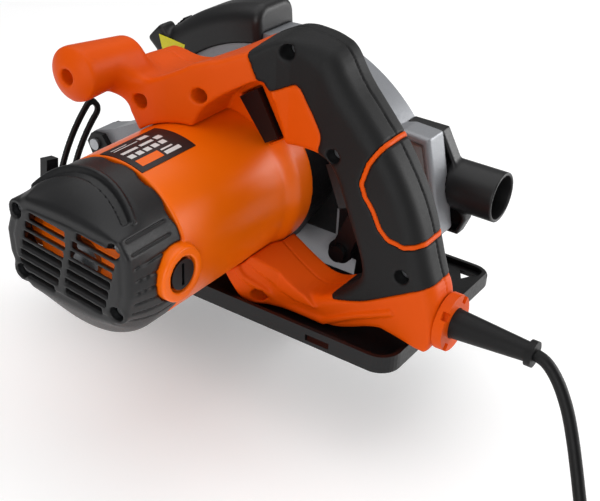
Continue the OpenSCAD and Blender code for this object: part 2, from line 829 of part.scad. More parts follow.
module trigger_slot() {
    translate([hx, trigger_c[0], trigger_c[1]]) rotate([trigger_a, 0, 0])
        cube([trigger_w + 0.8, trigger_len + 0.8, 14], center = true);
}

module handle_screw_bores(x0, x1, r) {
    for (p = HANDLE_SCREWS) bar_x(r, x0, x1, p[0], p[1]);
}

// left shell: half of the grip, the arm over the motor, the web and the knob
module handle_left() {
    knob_x0 = hx - knob_reach;
    color("#d85a08") saw() difference() {
        union() {
            difference() {
                handle_body(0, -125, hx);
                handle_cuts(0);
                intersection() {
                    along_x(SOFT_AREA, -130, hx + 1);
                    difference() {
                        handle_body(-1, -125, hx + 1);
                        difference() {
                            handle_body(soft_t, -125, hx + 1);
                            handle_cuts(soft_t);
                        }
                    }
                }
                difference() {
                    handle_body(soft_t + shell_wall, -124, hx + 1);
                    handle_cuts(soft_t + shell_wall);
                    for (p = HANDLE_SCREWS) bar_x(6, -124, hx + 1, p[0], p[1]);
                }
                trigger_slot();
                bar_y(9 + 0.05, -170, -148, hx, collar_z);
                along_x(inset(BUTTON, -0.3), recess_x - 5, recess_x + 8);
            }
            bar_x(knob_r, knob_x0 + 5, -95, knob_y, knob_z);
            translate([knob_x0, knob_y, knob_z]) rotate([0, 90, 0])
                cylinder(r1 = knob_r - 4, r2 = knob_r, h = 5);
        }
        bar_x(2.2, knob_x0 - 1, knob_x0 + 24, knob_y, knob_z);
        bar_x(4.2, knob_x0 - 1, knob_x0 + 6, knob_y, knob_z);
        for (p = HANDLE_SCREWS) {
            bar_x(4.2, -120, hx - 6, p[0], p[1]);
            bar_x(2.1, hx - 7, hx + 1, p[0], p[1]);
        }
    }
}

module handle_right() {
    color("#d85a08") saw() difference() {
        handle_body(0, hx, grip_x1);
        handle_cuts(0);
        intersection() {
            along_x(SOFT_AREA, hx - 1, grip_x1 + 1);
            difference() {
                handle_body(-1, hx - 1, grip_x1 + 1);
                difference() {
                    handle_body(soft_t, hx - 1, grip_x1 + 1);
                    handle_cuts(soft_t);
                }
            }
        }
        difference() {
            handle_body(soft_t + shell_wall, hx - 1, grip_x1 + 1);
            handle_cuts(soft_t + shell_wall);
            for (p = HANDLE_SCREWS) bar_x(6, hx - 1, grip_x1, p[0], p[1]);
        }
        trigger_slot();
        bar_y(9 + 0.05, -170, -148, hx, collar_z);
        along_x(case_outline(motor_r - 1.9, case_r + 0.1), plate_x0 - 0.1, gear_x0);
        case_screw_bores(plate_x0 - 4, gear_x0, 5.1);
        handle_screw_bores(hx - 1, grip_x1 - 4, 1.9);
    }
}

module grip_left() {
    color("#37383b") saw() soft_layer(grip_x0 - 40, hx);
}

module grip_right() {
    color("#37383b") saw() soft_layer(hx, grip_x1);
}

module handle_screws() {
    color("#8d8f92") saw() for (p = HANDLE_SCREWS) {
        bar_x(3.8, hx - 9, hx - 6, p[0], p[1]);
        bar_x(1.85, hx - 6, grip_x1 - 5, p[0], p[1]);
    }
}

// trigger blade in the opening's upper corner
module trigger() {
    color("#1e1e20") saw() translate([hx, trigger_c[0], trigger_c[1]]) rotate([trigger_a, 0, 0])
        translate([0, 0, -4.2]) cube([trigger_w, trigger_len, 11], center = true);
}

// black bar beside the motor that releases the trigger
module lock_off_button() {
    color("#1a1a1b") saw() along_x(BUTTON, recess_x - 3, recess_x + 4.5);
}

module switch_block() {
    color("#303236") saw() translate([hx, trigger_c[0], trigger_c[1]]) rotate([trigger_a, 0, 0])
        translate([0, -0.5, 12.4]) cube([19, 25, 12], center = true);
}

// orange ring that closes the rear end of the handle round the strain relief
module cord_collar() {
    color("#d85a08") saw() difference() {
        union() {
            bar_y(16.5, relief_y0, collar_y, hx, collar_z);
        }
        bar_y(9.05, relief_y0 - 1, collar_y + 1, hx, collar_z);
        for (a = [40, 130, 220, 310])
            translate([hx, relief_y0 - 1, collar_z]) rotate([0, a, 0]) translate([-2.5, 0, 12])
                cube([5, 4, 6]);
    }
}

// ---------- cord ----------

module strain_relief() {
    color("#1a1a1b") saw() {
        bar_y(11.3, -151.3, -148, hx, collar_z);
        bar_y(9, -158, -151.3, hx, collar_z);
        translate([hx, -158, collar_z]) rotate([90, 0, 0])
            cylinder(r1 = 9, r2 = 5.6, h = -158 - relief_end_y - 4);
        bar_y(7.4, relief_end_y, relief_end_y + 4, hx, collar_z);
    }
}

// direction of a route at point i
function heading(p, i) = unit(p[min(i + 1, len(p) - 1)] - p[max(i - 1, 0)]);

// points between the chosen ones, on a smooth curve through them
function smooth(p, i, t) = let (
    a = p[max(i - 1, 0)],
    b = p[i],
    c = p[min(i + 1, len(p) - 1)],
    d = p[min(i + 2, len(p) - 1)]
) 0.5 * (2 * b + (c - a) * t + (2 * a - 5 * b + 4 * c - d) * t * t
         + (3 * b - a - 3 * c + d) * t * t * t);
function route(p) = concat(
    [for (i = [0 : len(p) - 2], t = [0, 0.5]) smooth(p, i, t)], [p[len(p) - 1]]
);

// round tube along a route
module sweep(path, r, sides = 10) {
    n = len(path);
    rings = [
        for (i = [0 : n - 1])
            let (
                t = heading(path, i),
                u = unit(cross([0.05, 0.1, 1], t)),
                v = cross(t, u)
            )
            for (k = [0 : sides - 1])
                path[i] + r * (u * cos(360 * k / sides) + v * sin(360 * k / sides))
    ];
    sides_faces = [
        for (i = [0 : n - 2], k = [0 : sides - 1])
            let (a = i * sides + k, b = i * sides + (k + 1) % sides)
            [a, a + sides, b + sides, b]
    ];
    cap0 = [for (k = [0 : sides - 1]) k];
    cap1 = [for (k = [sides - 1 : -1 : 0]) (n - 1) * sides + k];
    polyhedron(points = rings, faces = concat(sides_faces, [cap0, cap1]), convexity = 6);
}

module power_cord() {
    color("#161617") sweep(route(CORD), cord_d / 2);
}

// short end of the cord between the coil and the plug
module cord_tail() {
    color("#161617") sweep(route(TAIL), cord_d / 2);
}

// neat round coil of the length put away
module cord_coil() {
    w = coil_rows * cord_d;
    h = coil_layers * cord_d;
    color("#161617") translate([coil_c[0], coil_c[1], 0]) rotate_extrude()
        translate([coil_r - w / 2, 0]) square([w, h]);
}

// plug lying beside the coil, its sleeve towards the cord
module at_plug() {
    end = TAIL[len(TAIL) - 1];
    translate(end) rotate([0, 90, plug_a]) children();
}

module plug_body() {
    color("#161617") at_plug() {
        cylinder(r1 = 4.5, r2 = 6.5, h = 26);
        translate([0, 0, 26]) cylinder(r1 = 10, r2 = 17.5, h = 30);
        translate([0, 0, 56]) cylinder(r = 17.5, h = 8);
    }
}

module plug_pins() {
    color("#c8cacc") at_plug() for (s = [-1, 1])
        translate([0, s * 9.5, 64]) cylinder(r = 2.4, h = 19);
}

// ---------- base and adjustments ----------

// rounded rectangle from x0 to x1 and -y1 to y1
module plan_plate(x0, x1, y1, r) {
    polygon(concat(
        [for (p = arc(r, 0, 90, 8)) p + [x1 - r, y1 - r]],
        [for (p = arc(r, 90, 180, 8)) p + [x0 + r, y1 - r]],
        [for (p = arc(r, 180, 270, 8)) p + [x0 + r, r - y1]],
        [for (p = arc(r, 270, 360, 8)) p + [x1 - r, r - y1]]
    ));
}

corner_r = 13;
// steel plate with turned-up rim, blade slot and the two bevel lugs
module base_plate() {
    color("#1c1c1e") saw() difference() {
        union() {
            difference() {
                translate([0, 0, sole_z]) linear_extrude(rim_h)
                    plan_plate(-base_left, base_right, base_half_len, corner_r);
                translate([0, 0, plate_top]) linear_extrude(rim_h)
                    plan_plate(-base_left + base_t, base_right - base_t,
                               base_half_len - base_t, corner_r - base_t);
                translate([base_right - 12, -base_half_len - 1, sole_z + rim_right_h])
                    cube([20, 2 * base_half_len + 2, rim_h]);
            }
            for (y = [lug_y, -lug_y - lug_t])
                along_y([[slot_left + 2, plate_top], [slot_right + 4, plate_top], [6, bevel_z + 7],
                         [-6, bevel_z + 7]], y, y + lug_t);
        }
        translate([slot_left, -slot_half, sole_z - 1])
            cube([slot_right - slot_left, 2 * slot_half, 10]);
        translate([plate_x0 - 5, -36, sole_z - 1]) cube([slot_left - plate_x0 + 6, 72, 10]);
        bar_y(bevel_pin_r + run, -130, 130, 0, bevel_z);
        translate([21, -127, sole_z - 1]) rotate([0, 0, -60]) cylinder(r = 6, h = 5, $fn = 3);
        for (y = [-1, 1]) translate([-base_left - 1, y * 95 - 8, plate_top])
            cube([base_t + 2, 16, 4]);
    }
}

// slotted arc on the base that guides the bevel clamp
module bevel_quadrant() {
    color("#1c1c1e") saw() difference() {
        union() {
            along_y([for (p = concat(arc(quad_r1, 127, 182.6, 16), arc(quad_r0, 182.6, 127, 16)))
                     p + [0, bevel_z]], lug_y, lug_y + lug_t);
            translate([-quad_r1, lug_y - 8, plate_top]) cube([quad_r1 - quad_r0, 10.5, 2]);
        }
        along_y([for (p = concat(arc(quad_rm + 3.2, 129.5, 179.3, 16),
                                 arc(quad_rm - 3.2, 179.3, 129.5, 16)))
                 p + [0, bevel_z]], lug_y - 1, lug_y + lug_t + 1);
        translate([-quad_r1 - 1, lug_y - 9, sole_z - 2]) cube([20, 20, 2 + base_t]);
    }
}

clamp_x = quad_rm * cos(clamp_a);
clamp_z = bevel_z + quad_rm * sin(clamp_a);
// bracket that tilts on the base and carries the depth pivot
module front_bracket() {
    y0 = bracket_y;
    y1 = bracket_y + bracket_t;
    ear = [[y0, plate_top + 1], [y0, 0.4], [pivot_y - 6, pivot_z + 8], [pivot_y + 4, pivot_z + 7],
           [pivot_y + 8, pivot_z], [pivot_y + 4, pivot_z - 8]];
    color("#1c1c1e") saw() difference() {
        union() {
            along_y([[clamp_x - 6.5, plate_top + 1], [2, plate_top + 1], [7.5, plate_top + 6.5],
                     [6, 0.4], [-45, 0.4], [clamp_x - 3, clamp_z + 8],
                     [clamp_x - 6.5, clamp_z + 4]], y0, y1);
            along_x(ear, arm_x0 - 0.5 - ear_t, arm_x0 - 0.5);
            along_x(ear, arm_x1 + 0.5, arm_x1 + 0.5 + ear_t);
        }
        bar_x(pivot_d / 2 + 0.01, -60, 0, pivot_y, pivot_z);
        bar_y(bevel_pin_r + 0.01, y0 - 1, y1 + 1, 0, bevel_z);
        bar_y(clamp_r + 0.05, y0 - 1, y1 + 1, clamp_x, clamp_z);
    }
}

// rear bracket: a foot on the bevel axis and the slotted depth quadrant
module rear_bracket() {
    y1 = -bracket_y;
    y0 = y1 - bracket_t;
    qx0 = quad_x1 - quad_t;
    a0 = depth_a + 2.4;
    a1 = depth_a - depth_range - 3;
    color("#1c1c1e") saw() difference() {
        union() {
            along_y([[qx0, plate_top + 1], [2, plate_top + 1], [6.5, plate_top + 5.5], [6, bevel_z + 7],
                     [-8, bevel_z + 9],
                     [qx0, bevel_z + 9]], y0, y1);
            along_x([for (p = concat(arc(depth_r + 9, a0, a1, 20), arc(depth_r - 9, a1, a0, 20)))
                     p + [pivot_y, pivot_z]], qx0, quad_x1);
            along_x([[y0, plate_top + 1], [y0, bevel_z + 9], [-80, 4], [-74, -2],
                     [-72, plate_top + 1]], qx0, quad_x1);
        }
        along_x([for (p = concat(arc(depth_r + bolt_r + gap, depth_a + 1, a1 + 2, 20),
                                 arc(depth_r - bolt_r - gap, a1 + 2, depth_a + 1, 20)))
                 p + [pivot_y, pivot_z]], qx0 - 1, quad_x1 + 1);
        bar_y(bevel_pin_r + 0.01, y0 - 1, y1 + 1, 0, bevel_z);
    }
}

module bevel_pins() {
    color("#9a9da1") saw() for (s = [-1, 1]) {
        y = s * (bracket_y + bracket_t / 2);
        bar_y(bevel_pin_r, min(y, y - s * 7), max(y, y - s * 7), 0, bevel_z);
        bar_y(bevel_pin_r, min(y, y + s * 4), max(y, y + s * 4), 0, bevel_z);
    }
}

module depth_pin() {
    color("#9a9da1") saw() {
        bar_x(pivot_d / 2, arm_x0 - 0.5 - ear_t - 2, arm_x1 + 0.5 + ear_t + 1, pivot_y, pivot_z);
    }
}

module depth_bolt() {
    color("#5d6064") saw() {
        bar_x(bolt_r - 0.02, lever_x1 - 15, wall_x + wall_t, bolt_y, bolt_z);
        bar_x(5.5, lever_x1 - 15, lever_x1 - 11, bolt_y, bolt_z);
    }
}

// clamp lever of the cutting depth
module depth_lever() {
    x0 = lever_x1 - 10.6;
    color("#1a1a1c") saw() difference() {
        union() {
            bar_x(8, x0, lever_x1, bolt_y, bolt_z);
            along_x([[bolt_y - 7, bolt_z], [bolt_y + 7, bolt_z], [bolt_y - 14, bolt_z + 50],
                     [bolt_y - 24, bolt_z + 48]], x0, x0 + 7);
        }
        bar_x(bolt_r - 0.02 + run, x0 - 1, lever_x1 + 1, bolt_y, bolt_z);
    }
}

module bevel_bolt() {
    color("#5d6064") saw() {
        bar_y(clamp_r, lug_y - 0.5, bracket_y + bracket_t + 14, clamp_x, clamp_z);
        bar_y(5.6, lug_y - 3.5, lug_y - 0.5, clamp_x, clamp_z);
    }
}

// clamp lever of the bevel
module bevel_lever() {
    y0 = bracket_y + bracket_t + 0.3;
    color("#1a1a1c") saw() difference() {
        union() {
            bar_y(7, y0, y0 + 11, clamp_x, clamp_z);
            along_y([[clamp_x - 5.5, clamp_z], [clamp_x + 5.5, clamp_z], [clamp_x + 8, clamp_z + 34],
                     [clamp_x - 2, clamp_z + 36]], y0 + 4, y0 + 10);
        }
        bar_y(clamp_r + run, y0 - 1, y0 + 12, clamp_x, clamp_z);
    }
}

motor_housing();
end_cap();
end_cap_screws();
brush_caps();
brush_holders();
carbon_brushes();
stator_core();
field_coils();
rating_plate();
motor_bearings();
armature_shaft();
armature_core();
commutator();
cooling_fan();
gear_plate();
gear_housing();
gear_housing_screws();
spindle_bearings();
spindle();
gear_wheel();
inner_flange();
outer_flange();
blade();
blade_bolt();
spindle_lock();
upper_guard();
lower_guard();
guard_lever();
guard_ring();
guard_spring();
laser_cover();
laser_module();
laser_switch();
dust_chute();
dust_port();
handle_left();
handle_right();
grip_left();
grip_right();
handle_screws();
trigger();
lock_off_button();
switch_block();
cord_collar();
strain_relief();
power_cord();
cord_coil();
cord_tail();
plug_body();
plug_pins();
base_plate();
bevel_quadrant();
front_bracket();
rear_bracket();
bevel_pins();
depth_pin();
depth_bolt();
depth_lever();
bevel_bolt();
bevel_lever();
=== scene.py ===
import math

import bpy
import bmesh
import numpy as np
from mathutils import Matrix, Vector


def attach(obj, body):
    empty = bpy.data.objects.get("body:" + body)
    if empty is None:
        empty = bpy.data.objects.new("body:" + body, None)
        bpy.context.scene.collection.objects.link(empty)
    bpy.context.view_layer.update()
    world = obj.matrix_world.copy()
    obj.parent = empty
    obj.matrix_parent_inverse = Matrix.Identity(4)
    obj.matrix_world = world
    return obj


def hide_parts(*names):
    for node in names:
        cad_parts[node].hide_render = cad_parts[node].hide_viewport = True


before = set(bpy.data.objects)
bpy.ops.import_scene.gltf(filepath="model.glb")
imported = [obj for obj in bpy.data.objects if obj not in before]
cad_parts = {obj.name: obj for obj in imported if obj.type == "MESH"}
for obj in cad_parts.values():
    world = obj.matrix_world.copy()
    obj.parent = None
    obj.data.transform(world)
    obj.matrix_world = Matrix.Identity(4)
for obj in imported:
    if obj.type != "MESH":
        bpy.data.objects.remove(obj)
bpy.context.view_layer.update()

# ---- camera ----
# The saw is seen from its left rear, from a little above, as it stands on a table.
# A normal lens, level to within three degrees, nothing out of focus.
turn, height, lean = math.radians(-56.98), math.radians(30.41), math.radians(2.9)
forward = Vector((-math.sin(turn) * math.cos(height), math.cos(turn) * math.cos(height),
                  -math.sin(height)))
side0 = Vector((math.cos(turn), math.sin(turn), 0))
up0 = side0.cross(forward)
side = math.cos(lean) * side0 + math.sin(lean) * up0
up = -math.sin(lean) * side0 + math.cos(lean) * up0
camera = bpy.data.objects.new("camera", bpy.data.cameras.new("camera"))
camera.matrix_world = Matrix((
    (side.x, up.x, -forward.x, -0.4502),
    (side.y, up.y, -forward.y, -0.3292),
    (side.z, up.z, -forward.z, 0.4312),
    (0, 0, 0, 1),
))
camera.data.sensor_fit = "HORIZONTAL"
camera.data.sensor_width = 36
camera.data.lens = 65.85
camera.data.clip_start = 0.01
bpy.context.scene.collection.objects.link(camera)
bpy.context.scene.camera = camera
bpy.context.scene.view_settings.view_transform = "Standard"

# ---- mains cord ----
# A round two-core lead of soft black PVC, 7 mm thick. It leaves the strain relief at
# the back of the handle, falls to the table in a loose curve, and is put away as a
# flat coil of six turns with the moulded plug beside it.
CORD_D = 7.0
LEAD = [
    (20, -176, 94), (19.5, -182, 92.5), (18.5, -188, 88), (17, -194, 81),
    (14.5, -200.5, 71), (10.5, -207, 59), (4.5, -214, 46), (-2.5, -221, 33.5),
    (-11.5, -229, 21.5), (-22.5, -238, 12), (-35.5, -247.5, 6.5), (-49.5, -257, 4.2),
    (-63.5, -266, 3.6), (-77, -276, 3.6), (-88, -288, 3.6), (-94, -302, 3.6),
]
TAIL = [
    (-69, -278.5, 10.9), (-80, -283.5, 10.9), (-90, -291.5, 10.9), (-98, -302.5, 10.8),
    (-102.5, -315.5, 10), (-102.3, -329.5, 8), (-98, -343, 5.6), (-90.5, -354.5, 4),
    (-81, -364.5, 3.6), (-70.5, -372, 3.6), (-58.5, -377.5, 3.6), (-46, -381.8, 4),
    (-33.5, -385.5, 6), (-21.5, -389.3, 11), (-9.8, -393, 16), (2, -396.8, 18),
]
COIL_C = (-49.5, -320.0)
# turn angle in degrees, radius of the turn, height of its middle
WINDING = [
    (180, 46, 3.5), (475, 46, 3.5), (535, 39, 3.5), (835, 39, 3.5), (895, 32, 3.5),
    (1195, 32, 3.5), (1255, 32, 10.5), (1555, 32, 10.5), (1615, 39, 10.5),
    (1915, 39, 10.5), (1975, 46, 10.5), (2268, 46, 10.8),
]


def linear(hexa):
    """sRGB hex colour as linear RGBA."""
    rgb = [int(hexa[i:i + 2], 16) / 255 for i in (1, 3, 5)]
    return [c / 12.92 if c <= 0.04045 else ((c + 0.055) / 1.055) ** 2.4 for c in rgb] + [1.0]


def add(tree, kind, links=None, **settings):
    """Adds a node; links maps an input to a value or to another node's output."""
    node = tree.nodes.new(kind)
    for key, value in settings.items():
        setattr(node, key, value)
    for key, value in (links or {}).items():
        if isinstance(value, bpy.types.NodeSocket):
            tree.links.new(value, node.inputs[key])
        else:
            node.inputs[key].default_value = value
    return node


def new_material(name):
    """Empty node material: its tree, its Principled shader."""
    mat = bpy.data.materials.new(name)
    mat.use_nodes = True
    return mat, mat.node_tree, mat.node_tree.nodes["Principled BSDF"]


def moulded(name, low, high, rough, grain_mm, depth, spread=0.06, sheen=0.5):
    """Injection moulded plastic: two close tones, uneven gloss and an eroded grain."""
    mat, tree, shader = new_material(name)
    where = add(tree, "ShaderNodeTexCoord").outputs["Object"]
    cloud = add(tree, "ShaderNodeTexNoise", {"Vector": where, "Scale": 1000 / 22, "Detail": 3})
    grain = add(tree, "ShaderNodeTexNoise",
                {"Vector": where, "Scale": 1000 / grain_mm, "Detail": 2, "Roughness": 0.6})
    tone = add(tree, "ShaderNodeMix", {0: cloud.outputs["Fac"]}, data_type="RGBA")
    tone.inputs[6].default_value = linear(low)
    tone.inputs[7].default_value = linear(high)
    gloss = add(tree, "ShaderNodeMapRange", {
        "Value": grain.outputs["Fac"], "From Min": 0.3, "From Max": 0.7,
        "To Min": rough - spread, "To Max": rough + spread})
    bump = add(tree, "ShaderNodeBump", {
        "Height": grain.outputs["Fac"], "Strength": depth, "Distance": grain_mm / 4000})
    tree.links.new(tone.outputs[2], shader.inputs["Base Color"])
    tree.links.new(gloss.outputs["Result"], shader.inputs["Roughness"])
    tree.links.new(bump.outputs["Normal"], shader.inputs["Normal"])
    shader.inputs["Specular IOR Level"].default_value = sheen
    shader.inputs["IOR"].default_value = 1.5
    return mat


# soft PVC: almost black, a dull skin with a faint sheen
pvc = moulded("soft_pvc_cord", "#050506", "#0A0A0B", 0.5, 0.9, 0.2, sheen=0.25)


def smooth_route(points, parts=4):
    """Points on a smooth curve through the chosen ones."""
    p = np.array([points[0]] + list(points) + [points[-1]], float)
    out = []
    for i in range(1, len(p) - 2):
        a, b, c, d = p[i - 1:i + 3]
        for t in np.arange(parts) / parts:
            out.append(0.5 * (2 * b + (c - a) * t + (2 * a - 5 * b + 4 * c - d) * t * t
                              + (3 * b - a - 3 * c + d) * t ** 3))
    return out + [p[-1]]


knots = np.array(WINDING, float)
coil = []
for k in range(len(knots) - 1):
    (a0, r0, z0), (a1, r1, z1) = knots[k], knots[k + 1]
    count = max(4, int((a1 - a0) / 9))
    for t in np.arange(count) / count:
        s = t * t * (3 - 2 * t)
        a, r = math.radians(a0 + (a1 - a0) * t), r0 + (r1 - r0) * s
        coil.append((COIL_C[0] + r * math.cos(a), COIL_C[1] + r * math.sin(a),
                     z0 + (z1 - z0) * s))
cord_path = np.array(smooth_route(LEAD) + coil + smooth_route(TAIL)) / 1000
curve = bpy.data.curves.new("mains_cord", "CURVE")
curve.dimensions = "3D"
spline = curve.splines.new("POLY")
spline.points.add(len(cord_path) - 1)
for point, co in zip(spline.points, cord_path):
    point.co = (*co, 1)
curve.bevel_depth = CORD_D / 2000
curve.bevel_resolution = 4
curve.use_fill_caps = True
cord = bpy.data.objects.new("mains_cord", curve)
bpy.context.scene.collection.objects.link(cord)
cord.data.materials.append(pvc)
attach(cord, "saw_body")
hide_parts("power_cord", "cord_coil", "cord_tail")


def paint(node, mat):
    """Gives a CAD node its finish."""
    thing = bpy.data.objects[node]
    thing.data.materials.clear()
    thing.data.materials.append(mat)


# nickel plate on brass: bright, slightly warm, fine turning marks
nickel, tree, shader = new_material("nickel_plated_brass")
shader.inputs["Metallic"].default_value = 1.0
shader.inputs["Base Color"].default_value = linear("#C9C6BE")
marks = add(tree, "ShaderNodeTexNoise", {
    "Vector": add(tree, "ShaderNodeTexCoord").outputs["Object"], "Scale": 900.0})
tree.links.new(add(tree, "ShaderNodeMapRange", {
    "Value": marks.outputs["Fac"], "To Min": 0.22, "To Max": 0.38}).outputs["Result"],
    shader.inputs["Roughness"])
paint("plug_body", pvc)
paint("plug_pins", nickel)

# ---- floor and light ----
# A plain white table, a large soft light overhead, and a tall soft panel behind the
# saw's right, which draws the pale streak along the barrel.
mat, tree, shader = new_material("white_table")
shader.inputs["Base Color"].default_value = (0.93, 0.93, 0.93, 1)
shader.inputs["Emission Color"].default_value = (1, 1, 1, 1)
shader.inputs["Emission Strength"].default_value = 0.2
shader.inputs["Roughness"].default_value = 0.9
shader.inputs["Specular IOR Level"].default_value = 0.1
mesh = bpy.data.meshes.new("table")
mesh.from_pydata([(-6, -6, 0), (6, -6, 0), (6, 6, 0), (-6, 6, 0)], [], [(0, 1, 2, 3)])
table = bpy.data.objects.new("table", mesh)
table.data.materials.append(mat)
bpy.context.scene.collection.objects.link(table)
world = bpy.context.scene.world or bpy.data.worlds.new("world")
bpy.context.scene.world = world
world.use_nodes = True
world.node_tree.nodes["Background"].inputs["Color"].default_value = (1, 1, 1, 1)
world.node_tree.nodes["Background"].inputs["Strength"].default_value = 0.22
for name, spot, target, size, power in (
    ("overhead", (0.1, 0.2, 1.6), (0, 0, 0.1), (2.4, 2.2), 23),
    ("back_panel", (1.1, -0.95, 0.42), (-0.05, 0, 0.13), (0.9, 0.7), 14),
    ("left_fill", (-1.3, -0.45, 0.6), (0, 0, 0.08), (1.0, 0.9), 9),
):
    lamp = bpy.data.lights.new(name, "AREA")
    lamp.shape = "RECTANGLE"
    lamp.size, lamp.size_y = size
    lamp.energy = power
    thing = bpy.data.objects.new(name, lamp)
    aim = (Vector(target) - Vector(spot)).to_track_quat("-Z", "Y").to_matrix().to_4x4()
    thing.matrix_world = Matrix.Translation(spot) @ aim
    bpy.context.scene.collection.objects.link(thing)

# ---- motor barrel ----
# The field housing, moulded in glass-filled nylon, glossy orange. Two raised round
# bosses hold the brush caps, and its right end flares into the gear plate's flange.
SHIFT = np.array([86.0, 34.0, 97.0])
MOTOR_Y, MOTOR_Z, MOTOR_R = -5.0, 37.796, 47.0
BRUSH_X = -170.0
CAP_X1 = -163.0


def grid(lo, hi, step):
    """Three broadcastable axes over a box, in mm from the spindle."""
    ax = [np.arange(a, b + step, step, dtype=np.float32) for a, b in zip(lo, hi)]
    return ax[0][:, None, None], ax[1][None, :, None], ax[2][None, None, :]


def both(a, b, r=0.0):
    """What two solids share, with an edge of radius r."""
    if r <= 0:
        return np.maximum(a, b)
    return (np.minimum(np.maximum(a, b), -r)
            + np.sqrt(np.maximum(a + r, 0) ** 2 + np.maximum(b + r, 0) ** 2))


def joined(a, b, r=0.0):
    """Two solids together, with a fillet of radius r."""
    return -both(-a, -b, r)


def outline(points, u, v):
    """Distance to a closed outline, negative inside."""
    best = np.full(np.broadcast(u, v).shape, 1e9, np.float32)
    inside = np.zeros(best.shape, bool)
    for (x0, y0), (x1, y1) in zip(points, points[1:] + points[:1]):
        ex, ey = x1 - x0, y1 - y0
        t = np.clip(((u - x0) * ex + (v - y0) * ey) / (ex * ex + ey * ey), 0, 1)
        best = np.minimum(best, (u - x0 - t * ex) ** 2 + (v - y0 - t * ey) ** 2)
        if y0 != y1:
            inside ^= ((v < y0) != (v < y1)) & (u < x0 + (v - y0) * ex / ey)
    return np.where(inside, -np.sqrt(best), np.sqrt(best))


def slab(w, a, b):
    """Space between two parallel planes."""
    return np.maximum(a - w, w - b)


def skinned(name, f, lo, step, mats, body="saw_body"):
    """Mesh of the surface where f is zero: one corner in each cell that it crosses."""
    f = np.pad(f, 1, constant_values=float(step))
    inside = f < 0
    n = [s - 1 for s in f.shape]
    total = np.zeros((*n, 3), np.float32)
    count = np.zeros(n, np.float32)
    for axis in range(3):
        others = [a for a in range(3) if a != axis]
        for p in (0, 1):
            for q in (0, 1):
                cut0 = [slice(None)] * 3
                cut0[axis] = slice(0, n[axis])
                cut0[others[0]] = slice(p, p + n[others[0]])
                cut0[others[1]] = slice(q, q + n[others[1]])
                cut1 = list(cut0)
                cut1[axis] = slice(1, n[axis] + 1)
                a, b = f[tuple(cut0)], f[tuple(cut1)]
                hit = inside[tuple(cut0)] != inside[tuple(cut1)]
                t = np.where(hit, a / np.where(hit, a - b, 1), 0)
                total[..., axis] += np.where(hit, t, 0)
                total[..., others[0]] += hit * p
                total[..., others[1]] += hit * q
                count += hit
    live = count > 0
    index = np.full(n, -1)
    index[live] = np.arange(int(live.sum()))
    at = np.argwhere(live) + total[live] / count[live][:, None] - 1
    verts = (np.array(lo) + at * step + SHIFT) / 1000
    faces = []
    for axis in range(3):
        u, v = [(1, 2), (2, 0), (0, 1)][axis]
        cut0 = [slice(1, -1)] * 3
        cut0[axis] = slice(0, n[axis])
        cut1 = list(cut0)
        cut1[axis] = slice(1, n[axis] + 1)
        a, b = inside[tuple(cut0)], inside[tuple(cut1)]
        for mask, flip in ((a & ~b, False), (~a & b, True)):
            at = np.argwhere(mask)
            at[:, u] += 1
            at[:, v] += 1
            ring = []
            for du, dv in ((1, 1), (0, 1), (0, 0), (1, 0)):
                c = at.copy()
                c[:, u] -= du
                c[:, v] -= dv
                ring.append(index[c[:, 0], c[:, 1], c[:, 2]])
            quads = np.stack(ring, 1)
            faces.append(quads[:, ::-1] if flip else quads)
    faces = np.concatenate(faces)
    mesh = bpy.data.meshes.new(name)
    mesh.vertices.add(len(verts))
    mesh.vertices.foreach_set("co", verts.astype(np.float32).ravel())
    mesh.loops.add(faces.size)
    mesh.loops.foreach_set("vertex_index", faces.astype(np.int32).ravel())
    mesh.polygons.add(len(faces))
    mesh.polygons.foreach_set("loop_start", np.arange(0, faces.size, 4, dtype=np.int32))
    mesh.polygons.foreach_set("use_smooth", np.ones(len(faces), bool))
    mesh.update(calc_edges=True)
    mesh.validate()
    thing = bpy.data.objects.new(name, mesh)
    bpy.context.scene.collection.objects.link(thing)
    for mat in mats if isinstance(mats, list) else [mats]:
        mesh.materials.append(mat)
    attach(thing, body)
    return thing


# glass-filled nylon, polished tool: saturated orange, soft gloss, hardly any grain
orange = moulded("orange_nylon_gloss", "#EC6400", "#F06800", 0.33, 1.2, 0.03,
                 spread=0.02, sheen=0.26)
lo, hi, step = (-194, -58, -16), (-49, 48, 92), 0.9
X, Y, Z = grid(lo, hi, step)
from_axis = np.sqrt((Y - MOTOR_Y) ** 2 + (Z - MOTOR_Z) ** 2)
flare = 2.5 * np.clip((X + 76) / 14, 0, 1) ** 2 * (3 - 2 * np.clip((X + 76) / 14, 0, 1))
barrel = both(from_axis - MOTOR_R - flare, slab(X, CAP_X1, -50), 1.0)
barrel = joined(barrel, both(from_axis - 41.4, slab(X, -179, CAP_X1 + 4), 1.0), 0.3)
barrel = joined(barrel, both(from_axis - 33, slab(X, -191, -176), 1.0), 0.3)
boss = np.sqrt((X - BRUSH_X) ** 2 + (Z - MOTOR_Z) ** 2)
boss_ring = both(boss - 15.5, np.abs(Y - MOTOR_Y) - 50.5, 1.5)
barrel = joined(barrel, boss_ring, 1.2)
barrel = both(barrel, -both(boss - 10.2, 47.5 - np.abs(Y - MOTOR_Y)), 0.6)
barrel = both(barrel, -both(boss - 8.6, 38 - np.abs(Y - MOTOR_Y)), 0.2)
barrel = both(barrel, -both(from_axis - 40, slab(X, -200, -188)), 0.3)
piece = skinned("motor_barrel", barrel, lo, step, orange)
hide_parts("motor_housing")

